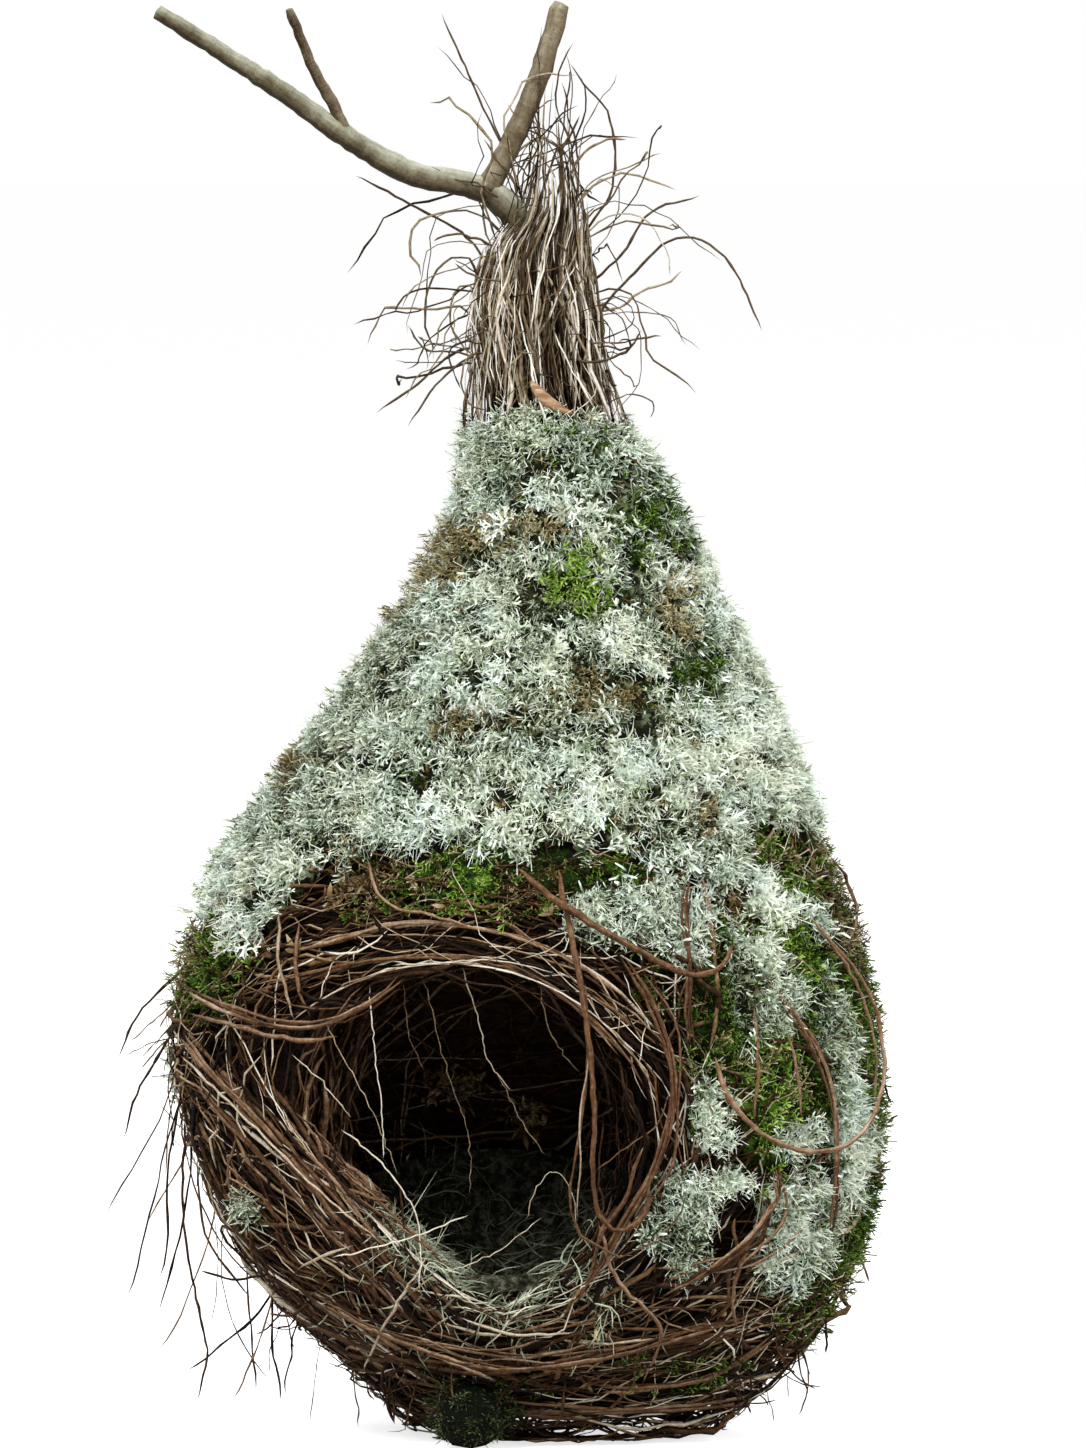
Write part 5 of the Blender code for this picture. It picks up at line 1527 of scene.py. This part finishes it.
kinds = np.array([patch[4] for patch in ROOF_GROWTH])[roof_kind_here]
in_crevice = rng.random(len(crevice_angle)) < 0.42
roof_angle = np.append(roof_angle, crevice_angle[in_crevice])
roof_height = np.append(roof_height, crevice_height[in_crevice])
kinds = np.append(kinds, rng.choice(("brown", "deep"), in_crevice.sum(), p=(0.55, 0.45)))
in_patches = len(roof_kind_here)
often = np.repeat(np.arange(len(kinds)), np.where(np.arange(len(kinds)) < in_patches, ROOF_SHOOTS, 1))
roof_angle = roof_angle[often] + rng.normal(0, 0.0014, len(often)) / wall_section(roof_height[often])[0]
roof_height = np.clip(roof_height[often] + rng.normal(0, 0.0011, len(often)), 0.1, CAPE_TOP)
kinds = kinds[often]
for kind, finish, tone in (
    ("brown", brown_finish, 0.52), ("gold", brown_finish, 0.66),
    ("bright", moss_finish, 0.74), ("deep", moss_finish, 0.36),
):
    here = kinds == kind
    tones = np.clip(rng.normal(tone, 0.14, here.sum()), 0.05, 0.95)
    lift = 0.004 if kind == "gold" else 0.0028
    add_moss(kind + "_moss_on_roof", finish, roof_angle[here], roof_height[here], lift, tones)


# Dead leaves and flakes of dry bark are caught above the entrance and at the right, and woven in at
# the back of the chamber, where the light just reaches them.
LEAF_SPOTS = (  # where they lie on the front: count, x, height, half width, half height
    (40, -0.04, 0.1335, 0.008, 0.0046),
    (30, 0.0, 0.134, 0.0085, 0.005),
    (20, 0.0478, 0.1318, 0.003, 0.0042),
    (10, 0.037, 0.131, 0.006, 0.006),
    (12, -0.064, 0.118, 0.01, 0.005),
    (14, 0.065, 0.03, 0.012, 0.008),
    (26, -0.01, 0.024, 0.04, 0.01),
)
CHAMBER_LEAVES = (  # and at the back of the chamber: count, way from its middle (x, up), spread
    (60, -0.21, 0.07, 0.08),
    (46, 0.11, -0.09, 0.06),
)
LEAF_STOPS = (
    (0.0, (0.014, 0.007, 0.003)),
    (0.35, (0.085, 0.042, 0.017)),
    (0.65, (0.24, 0.15, 0.066)),
    (1.0, (0.54, 0.42, 0.24)),
)
leaf_finish = growth_finish("dead_leaves", LEAF_STOPS, 0.5, 0.0004)
leaves = [tuft(rng, 4, 3, 0.0006, 0.0018, (0.5, 1.5), 0.0038, 0.0012, (0.6, 2.6), 0.1) for _ in range(8)]
spread = rng.normal(0, 0.7, (2, sum(spot[0] for spot in LEAF_SPOTS)))
leaf_x, leaf_height, half_x, half_z = (
    np.repeat([spot[k] for spot in LEAF_SPOTS], [spot[0] for spot in LEAF_SPOTS]) for k in (1, 2, 3, 4)
)
leaf_height = leaf_height + half_z * spread[1]
leaf_angle = front_angle(leaf_x + half_x * spread[0], leaf_height)
leaf_angle, leaf_height = keep_out_of_mouth(leaf_angle, leaf_height, 0.004)
spots = wall_points(leaf_angle, leaf_height, rng.uniform(-0.0008, 0.0016, len(leaf_angle)))
outs = wall_outward(leaf_angle, leaf_height) + rng.normal(0, 0.45, spots.shape)
tones = rng.normal(0.56, 0.2, len(spots))
for count, way_x, way_up, width in CHAMBER_LEAVES:
    ways = unit(np.array((way_x, 1.0, way_up)) + width * rng.normal(size=(count, 3)) * (1, 0, 0.6))
    spots = np.concatenate((spots, CHAMBER_CENTRE + CHAMBER_RADII * ways * 0.965))
    outs = np.concatenate((outs, rng.normal(0, 0.5, ways.shape) - ways))
    tones = np.append(tones, rng.normal(0.52, 0.22, count))
tones = np.clip(tones, 0.05, 1.0)
sizes = rng.uniform(0.4, 1.1, len(spots))
add_tufts("dead_leaves", rng, leaves, spots, outs, sizes, tones, leaf_finish, "moss")


# The tuft at the foot: a ragged wad of moss, with shoots all over its core.
TUFT_SHOOTS = 380
FOOT_STOPS = (
    (0.0, (0.004, 0.005, 0.002)),
    (0.24, (0.018, 0.023, 0.007)),
    (0.46, (0.055, 0.075, 0.024)),
    (0.7, (0.15, 0.185, 0.075)),
    (1.0, (0.42, 0.47, 0.3)),
)
foot_finish = growth_finish("damp_moss", FOOT_STOPS, 0.6, 0.0002)
tuft_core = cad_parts["moss_tuft"]
tuft_core.material_slots[0].material = growth_finish("damp_felt", FOOT_STOPS, 0.5, 0.0012, pit_shade=0.45)
core_places = mesh_arrays(tuft_core.data)[0]
pick = rng.integers(0, len(core_places), TUFT_SHOOTS)
spots = core_places[pick].astype(float) + rng.normal(0, 0.0008, (TUFT_SHOOTS, 3))
outs = unit(spots - core_places.mean(axis=0))
spots = spots - 0.0006 * outs
spots[:, 2] = np.maximum(spots[:, 2], 0.0022)
outs = outs + rng.normal(0, 0.45, outs.shape) - (0, 0, 0.2)
outs[:, 2] = np.where(spots[:, 2] < 0.0055, np.maximum(outs[:, 2], 0.35), outs[:, 2])
tones = np.clip(rng.normal(0.2, 0.18, TUFT_SHOOTS), 0.05, 0.95)
sizes = rng.uniform(0.7, 1.2, TUFT_SHOOTS)
add_tufts("moss_tuft_shoots", rng, shoots, spots, outs, sizes, tones, foot_finish, "moss")


# The neck: long dry fibres bound round the end of the twig, pale and brown, over a heart of fibres painted
# near-black as shade, and the fibres further in are painted darker. A few stand up past it beside the twig,
# and a curled sliver of bark is caught at its foot.
NECK_STATIONS = np.array((  # height, radius, lean towards +X
    (0.235, 0.019, 0.0048),
    (0.2425, 0.0178, 0.0038),
    (0.2568, 0.0152, 0.0018),
    (0.2736, 0.0136, 0.0008),
    (0.2856, 0.0114, 0.002),
    (0.294, 0.0078, 0.005),
    (0.305, 0.0056, 0.005),
    (0.3216, 0.0038, 0.0056),
    (0.336, 0.0026, 0.0072),
))
HEART_FIBRES = 130
NECK_FIBRES = 920
NECK_POINTS = 10
NECK_ENDS = ((0.5, 0.283), (0.3, 0.29), (0.12, 0.297), (0.05, 0.305), (0.02, 0.318), (0.01, 0.33))
FIBRE_STOPS = (
    (0.05, (0.006, 0.003, 0.001)),
    (0.26, (0.04, 0.024, 0.011)),
    (0.46, (0.145, 0.1, 0.055)),
    (0.66, (0.345, 0.272, 0.172)),
    (0.84, (0.6, 0.53, 0.405)),
    (1.0, (0.9, 0.865, 0.79)),
)
fibre_finish = strand_finish("dry_fibres", FIBRE_STOPS, 0.72)


def neck_section(height):
    """Radius and lean of the neck at each height."""
    heights, radii, leans = NECK_STATIONS.T
    return np.interp(height, heights, radii), np.interp(height, heights, leans)


def neck_ring(angle, height, reach):
    """Points round the neck's middle, at a reach from it."""
    lean = neck_section(height)[1]
    return np.stack((lean + reach * np.cos(angle), DEPTH_SHARE * reach * np.sin(angle), height), -1)


def neck_routes(rng, count, near, far, highest):
    """Fibres that climb the neck, from near to far as shares of its radius, and how far out each is."""
    t = np.linspace(0, 1, NECK_POINTS)
    start = rng.uniform(0.2355, 0.266, (count, 1))
    shares, tops = np.array(NECK_ENDS).T
    top = rng.choice(tops, (count, 1), p=shares / shares.sum()) + rng.normal(0, 0.0022, (count, 1))
    end = np.minimum(start + rng.uniform(0.014, 0.08, (count, 1)), np.minimum(top, highest))
    height = start + (end - start) * t
    crossing = np.where(rng.random((count, 1)) < 0.13, 1.0, 0.2)
    ring = rng.uniform(0, 2 * math.pi, (count, 1))
    ring = ring + rng.normal(0, 1, ring.shape) * crossing * t + wavy(rng, count, NECK_POINTS, 0.09, 1.5)
    inward = rng.uniform(near, far, (count, 1)) + wavy(rng, count, NECK_POINTS, 0.06, 1.5)
    routes = neck_ring(ring, height, neck_section(height)[0] * inward)
    return routes + rng.normal(0, 0.00016, routes.shape), inward.mean(axis=1)


rng = np.random.default_rng(79)
heart, _ = neck_routes(rng, HEART_FIBRES, 0.3, 0.66, 0.285)
outer, outward_lit_share = neck_routes(rng, NECK_FIBRES, 0.62, 1.1, 0.345)
routes = np.concatenate((heart, outer))
radii = np.concatenate((
    strand_radii(rng, HEART_FIBRES, NECK_POINTS, ((1.0, 0.0006, 0.001),)),
    strand_radii(rng, NECK_FIBRES, NECK_POINTS, (
        (0.62, 0.0001, 0.00018), (0.3, 0.00018, 0.00031), (0.08, 0.00031, 0.0005)))))
pale = rng.random(NECK_FIBRES) < 0.42
# painted shade: fibres further in are darker, and the heart's fibres near-black
outer_tones = 1.16 * (outward_lit_share - 0.66) + 0.46 * pale + rng.normal(0, 0.14, NECK_FIBRES)
outer_tones -= 700 * (radii[HEART_FIBRES:].mean(axis=1) - 0.00018)
tones = np.concatenate((rng.uniform(0.02, 0.13, HEART_FIBRES), np.clip(outer_tones, 0.04, 1.0)))
add_strands("neck_fibre_bundle", routes, radii, tones, fibre_finish, "dry_fibre", "neck_fibres")

sliver_finish, tree, shader, at = new_finish("curled_bark", 0.55)
streaks = grain(tree, stretched(tree, at, (90, 900, 900), (0, 0.6, 0)), 1.0, 4.0, 0.7)
paint(tree, shader, streaks, (0.28, (0.11, 0.052, 0.022)), (0.5, (0.34, 0.2, 0.105)),
      (0.72, (0.62, 0.47, 0.32)))
raise_by(tree, shader, streaks, 0.0004)
SLIVER_ENDS = np.array(((0.0, -0.0172, 0.2534), (0.0102, -0.0182, 0.2456)))
SLIVER_WIDTH = 0.0028
shape = bmesh.new()
bmesh.ops.create_grid(shape, x_segments=8, y_segments=16, size=0.5)
side = np.cross(unit(SLIVER_ENDS[1] - SLIVER_ENDS[0]), (0, -1, 0))
for vert in shape.verts:
    t, turn = vert.co.y + 0.5, 2.6 * vert.co.x
    half = SLIVER_WIDTH / 2 * (0.1 + math.sin(math.pi * t**0.8) ** 0.8)
    middle = SLIVER_ENDS[0] + t * (SLIVER_ENDS[1] - SLIVER_ENDS[0]) + 0.0012 * math.sin(math.pi * t) * side
    rolled = half * math.sin(turn) * side - half * math.cos(turn) * np.array((0, 1, 0))
    vert.co = middle + rolled
bmesh.ops.recalc_face_normals(shape, faces=shape.faces)
bmesh.ops.solidify(shape, geom=shape.faces, thickness=0.0003)
bmesh.ops.recalc_face_normals(shape, faces=shape.faces)
add_piece("curled_bark_sliver", closed_mesh(shape, "sliver"), sliver_finish, "root_bark", "bark_sliver")

# lichen climbs a little way over the foot of the fibres, highest at the front
NECK_TUFTS = 230
turn = rng.uniform(-math.pi, math.pi, NECK_TUFTS)
crown = 0.0088 * np.exp(-(((turn + 1.62) / 0.36) ** 2)) + 0.0018 * np.sin(5 * turn)
crown = crown + 0.0012 * np.sin(11 * turn)
climb = 0.2375 + (0.0042 + np.maximum(crown, -0.003)) * rng.uniform(0, 1, NECK_TUFTS)
spots = neck_ring(turn, climb, neck_section(climb)[0] + rng.uniform(0.0002, 0.0018, NECK_TUFTS))
way = np.stack((np.cos(turn), DEPTH_SHARE * np.sin(turn), 0 * turn), -1)
tones = np.clip(0.52 + rng.normal(0, 0.12, NECK_TUFTS), 0.15, 0.95)
outs = way + rng.normal(0, 0.35, way.shape) + (0, 0, 0.1)
sizes = rng.uniform(0.75, 1.2, NECK_TUFTS)
add_tufts("lichen_at_neck", rng, frills, spots, outs, sizes, tones, lichen_finish, "lichen")


# The forked twig, with smooth grey-green bark, streaked, paler above and darker below as painted top light
# and shade, partly real weathering of the upper side, small scars and swollen joints along it, and a collar
# where each branch leaves.
TWIG_STEP = 0.0018
TWIG_JOINT_GAP = 0.021
TWIGS = (  # name, radius at the start and the end, collar radius at the start, and route in mm
    ("twig_main", 0.0018, 0.0037, 0.0018, ((-89, -12, 341.5), (-71, -10, 330), (-58, -8, 321.5),
        (-44, -6, 311.5), (-29, -4, 303), (-13.5, -2, 299.5), (-5, -1, 294), (0, 0, 283), (2, 1, 268))),
    ("twig_arm_right", 0.0028, 0.0024, 0.0034, ((-10.5, -1.5, 298.2), (-7.5, -1, 304), (-3, 1, 313),
        (1.5, 3, 324), (4.5, 5, 333), (7.5, 8, 343))),
    ("twig_sprig_left", 0.0015, 0.0011, 0.0021, ((-44, -6, 311.5), (-47.5, -7.5, 320), (-51, -9, 326),
        (-54.5, -11, 334.5), (-57.5, -13, 342))),
)
GREEN_BARK = (
    (0.12, (0.032, 0.022, 0.01)),
    (0.32, (0.1, 0.078, 0.044)),
    (0.5, (0.19, 0.178, 0.12)),
    (0.68, (0.33, 0.33, 0.245)),
    (0.92, (0.58, 0.565, 0.46)),
)
BROWN_BARK = (
    (0.12, (0.03, 0.019, 0.009)),
    (0.32, (0.092, 0.064, 0.035)),
    (0.5, (0.165, 0.13, 0.08)),
    (0.68, (0.27, 0.23, 0.155)),
    (0.92, (0.48, 0.435, 0.33)),
)


def bark_finish(name, stops):
    """Smooth bark, streaked, scarred across, and painted paler where it faces up and darker below, as top
    light and shade.
    """
    finish, tree, shader, at = new_finish(name, 0.6)
    streaks = bark_grain(tree, 9.0, 9.0, 5.0, 0.65)
    pores = bark_grain(tree, 46.0, 3.0, 2.0)
    specks = grain(tree, at, 1100.0, 3.0, 0.7)
    clouds = grain(tree, at, 60.0, 4.0)
    # painted top light and underside shade, strong on the twig
    mixed = top_light_and_bleach(tree, 0.46, 0.39)
    for detail, share in ((specks, 0.26), (pores, 0.3), (streaks, 0.6), (clouds, 0.55)):
        mixed = weigh(tree, detail, share, mixed)
    paint(tree, shader, mixed, *stops)
    raise_by(tree, shader, weigh(tree, streaks, 0.8, weigh(tree, specks, 0.5, pores)), 0.0006, 1.0)
    return finish


main_finish = bark_finish("twig_bark", GREEN_BARK)
branch_finish = bark_finish("young_twig_bark", BROWN_BARK)

rng = np.random.default_rng(83)
for name, start_radius, end_radius, collar, places in TWIGS:
    route = smooth_route(places, TWIG_STEP)
    from_start = np.arange(len(route)) * TWIG_STEP
    radii = np.linspace(start_radius, end_radius, len(route))
    radii += (collar - start_radius) * np.exp(-((from_start / 0.0035) ** 2))
    joints = np.arange(rng.uniform(0.3, 0.8) * TWIG_JOINT_GAP, from_start[-1], TWIG_JOINT_GAP)
    joints = joints + rng.normal(0, 0.003, len(joints))
    swelling = sum(np.exp(-(((from_start - joint) / 0.0017) ** 2)) for joint in joints)
    radii = radii * (1 + 0.08 * swelling + 0.012 * rng.normal(size=len(route)))
    radii[-1] = radii[-1] * 0.8
    route = route + rng.normal(0, 0.0001, route.shape)
    capped = np.vstack((route[:1], route, route[-1:]))
    capped[0] -= 0.2 * (route[1] - route[0])
    capped[-1] += 0.2 * (route[-1] - route[-2])
    radii = np.concatenate(([0.0], radii, [0.0]))
    finish = main_finish if name == "twig_main" else branch_finish
    add_strands(name + "_bark", [capped], [radii], [0.5], finish, "twig_bark", name, resolution=4)


# Loose ends: thin wiry roots that fly off the neck, and others that hang beside the wall.
LOOSE_RADIUS = 0.00045
ROOTED_LENGTH = 0.006
LOOSE_NECK_ROOTS = (  # name, angle and height at which one leaves the neck, and its free route in mm
    ("loose_root_arc_right", 0, 0.268, ((25, -3, 279), (33, -6, 286.5), (41, -8, 287), (48, -9, 281),
        (52.5, -10, 272), (55.5, -10, 265))),
    ("loose_root_bow_right", 40, 0.285, ((19, 6, 297), (20.5, 6, 308), (18.5, 5, 317.5), (13, 4, 324),
        (9.5, 4, 329))),
    ("loose_root_fork_right", 40, 0.273, ((22, 11, 283), (29, 13, 293), (41, 14, 297))),
    ("loose_root_bow_left", 200, 0.2755, ((-14.5, -6, 282.5), (-20.5, -8, 281.5), (-24.5, -9, 275),
        (-25, -10, 266), (-22.5, -9, 260))),
    ("loose_root_low_left", 200, 0.259, ((-18.5, -6, 256), (-24, -6, 250), (-29.5, -6, 242))),
    ("loose_root_far_left", 160, 0.26, ((-19, 6, 259), (-27, 6, 252), (-37, 4, 245))),
    ("loose_root_high_left", 160, 0.28, ((-15, 7, 287), (-27, 9, 294), (-42, 10, 302))),
    ("loose_root_tall_left", 120, 0.29, ((-4, 9, 303), (-11, 10, 318), (-16.5, 11, 330),
        (-21.5, 11, 341))),
)
HANGING_ROOTS = (
    ("hanging_root_left_high", 177, 0.112, ((-88, 3, 107), (-94.5, 2, 100), (-99, 1, 90))),
    ("hanging_root_left_middle", -176, 0.098, ((-89.5, -7, 90.5), (-94.5, -8, 82), (-97.5, -8, 71))),
    ("hanging_root_left_low", -176, 0.076, ((-83.5, -8, 62), (-82.5, -9, 47), (-79.5, -9, 31),
        (-77.5, -10, 19), (-80, -10, 8))),
)
NECK_HAIRS = (  # count, facing, heights, way out (x, up), spread, lengths, sag, curl, kinks
    (18, (140, 200), (0.283, 0.298), (-0.55, 0.95), 0.26, (0.026, 0.066), 0.2, 1.7, 0.3),
    (30, (-180, 180), (0.286, 0.302), (0.05, 1.0), 0.16, (0.014, 0.042), 0.0, 1.0, 0.16),
    (12, (-30, 60), (0.262, 0.292), (0.7, 0.8), 0.25, (0.024, 0.056), 1.6, 2.2, 0.24),
    (18, (155, 215), (0.256, 0.286), (-0.75, 0.25), 0.25, (0.014, 0.046), 2.4, 1.6, 0.26),
    (14, (-45, 45), (0.243, 0.272), (0.75, -0.05), 0.3, (0.008, 0.03), 1.2, 2.4, 0.3),
    (10, (60, 120), (0.25, 0.288), (0.0, 0.3), 0.6, (0.014, 0.036), 1.0, 0.9, 0.2),
    (26, (-150, -30), (0.24, 0.284), (0.0, -0.1), 0.6, (0.008, 0.022), 0.5, 1.2, 0.2),
)
WALL_HAIRS = (
    (15, (170, 192), (0.036, 0.108), (-0.12, -1.0), 0.12, (0.026, 0.072), 0.4, 0.7, 0.08),
    (16, (166, 196), (0.08, 0.118), (-0.7, -0.6), 0.3, (0.006, 0.02), 1.6, 1.2, 0.1),
    (12, (184, 214), (0.018, 0.05), (-0.3, -0.85), 0.26, (0.012, 0.036), 1.0, 1.4, 0.14),
    (10, (-25, 20), (0.04, 0.12), (0.4, -0.75), 0.25, (0.006, 0.018), 2.2, 0.9, 0.12),
    (18, (-170, -10), (0.01, 0.026), (0.0, -0.1), 0.55, (0.01, 0.026), 0.8, 1.2, 0.12),
    (22, (20, 170), (0.012, 0.11), (0.0, -0.1), 0.55, (0.008, 0.02), 1.6, 0.9, 0.12),
    (14, (-140, -110), (0.01, 0.03), (-0.3, -0.5), 0.3, (0.012, 0.03), 1.2, 0.7, 0.12),
    (12, (-60, -10), (0.012, 0.04), (0.35, -0.6), 0.3, (0.01, 0.026), 1.0, 1.4, 0.14),
)
HAIR_POINTS = 14
HAIR_KINDS = ((0.5, 0.00012, 0.0002), (0.5, 0.0002, 0.00032))
SIDE_LIMIT = (-0.105, 0.09)
DEPTH_LIMIT = (-0.089, 0.088)
TOP_LIMIT = 0.346


def neck_point(angle, height, lift):
    return neck_ring(angle, height, neck_section(height)[0] + lift)


def hair_routes(rng, groups, start_point):
    """Wiry roots that spring from the surface start_point gives, bend at random and sag."""
    routes = []
    for count, facing, heights, (way_x, way_up), spread, lengths, sag, curl, kinks in groups:
        angle = np.radians(rng.uniform(*facing, count))
        place = start_point(angle, rng.uniform(*heights, count), -0.001)
        way = np.stack((np.full(count, way_x), np.zeros(count), np.full(count, way_up)), -1)
        way = way + spread * rng.normal(size=way.shape)
        way += 0.55 * np.stack((np.cos(angle), np.sin(angle), 0 * angle), -1) * (way_x == 0)
        turn = curl * rng.normal(size=way.shape) * (0.5, 1.0, 0.5)
        length = np.minimum(rng.uniform(*lengths, count), 0.88 * place[:, 2])
        step = length[:, None] / (HAIR_POINTS - 1)
        course = [place]
        for _ in range(HAIR_POINTS - 1):
            way = unit(way)
            place = place + step * way
            course.append(place)
            kink = rng.normal(0, kinks, way.shape)
            way = way + (np.cross(turn, way) - (0, 0, sag)) / HAIR_POINTS + kink
        routes.append(np.stack(course, axis=1))
    routes = np.concatenate(routes)
    routes[..., 0] = np.clip(routes[..., 0], *SIDE_LIMIT)
    routes[..., 1] = np.clip(routes[..., 1], *DEPTH_LIMIT)
    routes[..., 2] = np.clip(routes[..., 2], 0.0006, TOP_LIMIT)
    return routes + rng.normal(0, 0.00004, routes.shape)


rng = np.random.default_rng(97)
for name, turn, height, free in LOOSE_NECK_ROOTS:
    rooted = [1000 * neck_point(math.radians(turn), h, 0.0005) for h in (height - ROOTED_LENGTH, height)]
    add_root(name, rng, smooth_route((*rooted, *free), ROOT_STEP), LOOSE_RADIUS, 0.34,
             fibre_finish, "dry_fibre", 0)
for name, turn, height, free in HANGING_ROOTS:
    rooted = [1000 * wall_points(math.radians(turn), h, 0.001) for h in (height + ROOTED_LENGTH, height)]
    add_root(name, rng, smooth_route((*rooted, *free), ROOT_STEP), LOOSE_RADIUS, 0.3, resolution=0)
for name, groups, start_point, finish, slot, tone in (
    ("neck_hairs", NECK_HAIRS, neck_point, fibre_finish, "dry_fibre", 0.36),
    ("wall_hairs", WALL_HAIRS, wall_points, woven_finish, "woven_roots", 0.34),
):
    routes = hair_routes(rng, groups, start_point)
    radii = strand_radii(rng, len(routes), HAIR_POINTS, HAIR_KINDS)
    tones = np.clip(rng.normal(tone, 0.12, len(routes)), 0.1, 0.9)
    add_strands(name, routes, radii, tones, finish, slot)
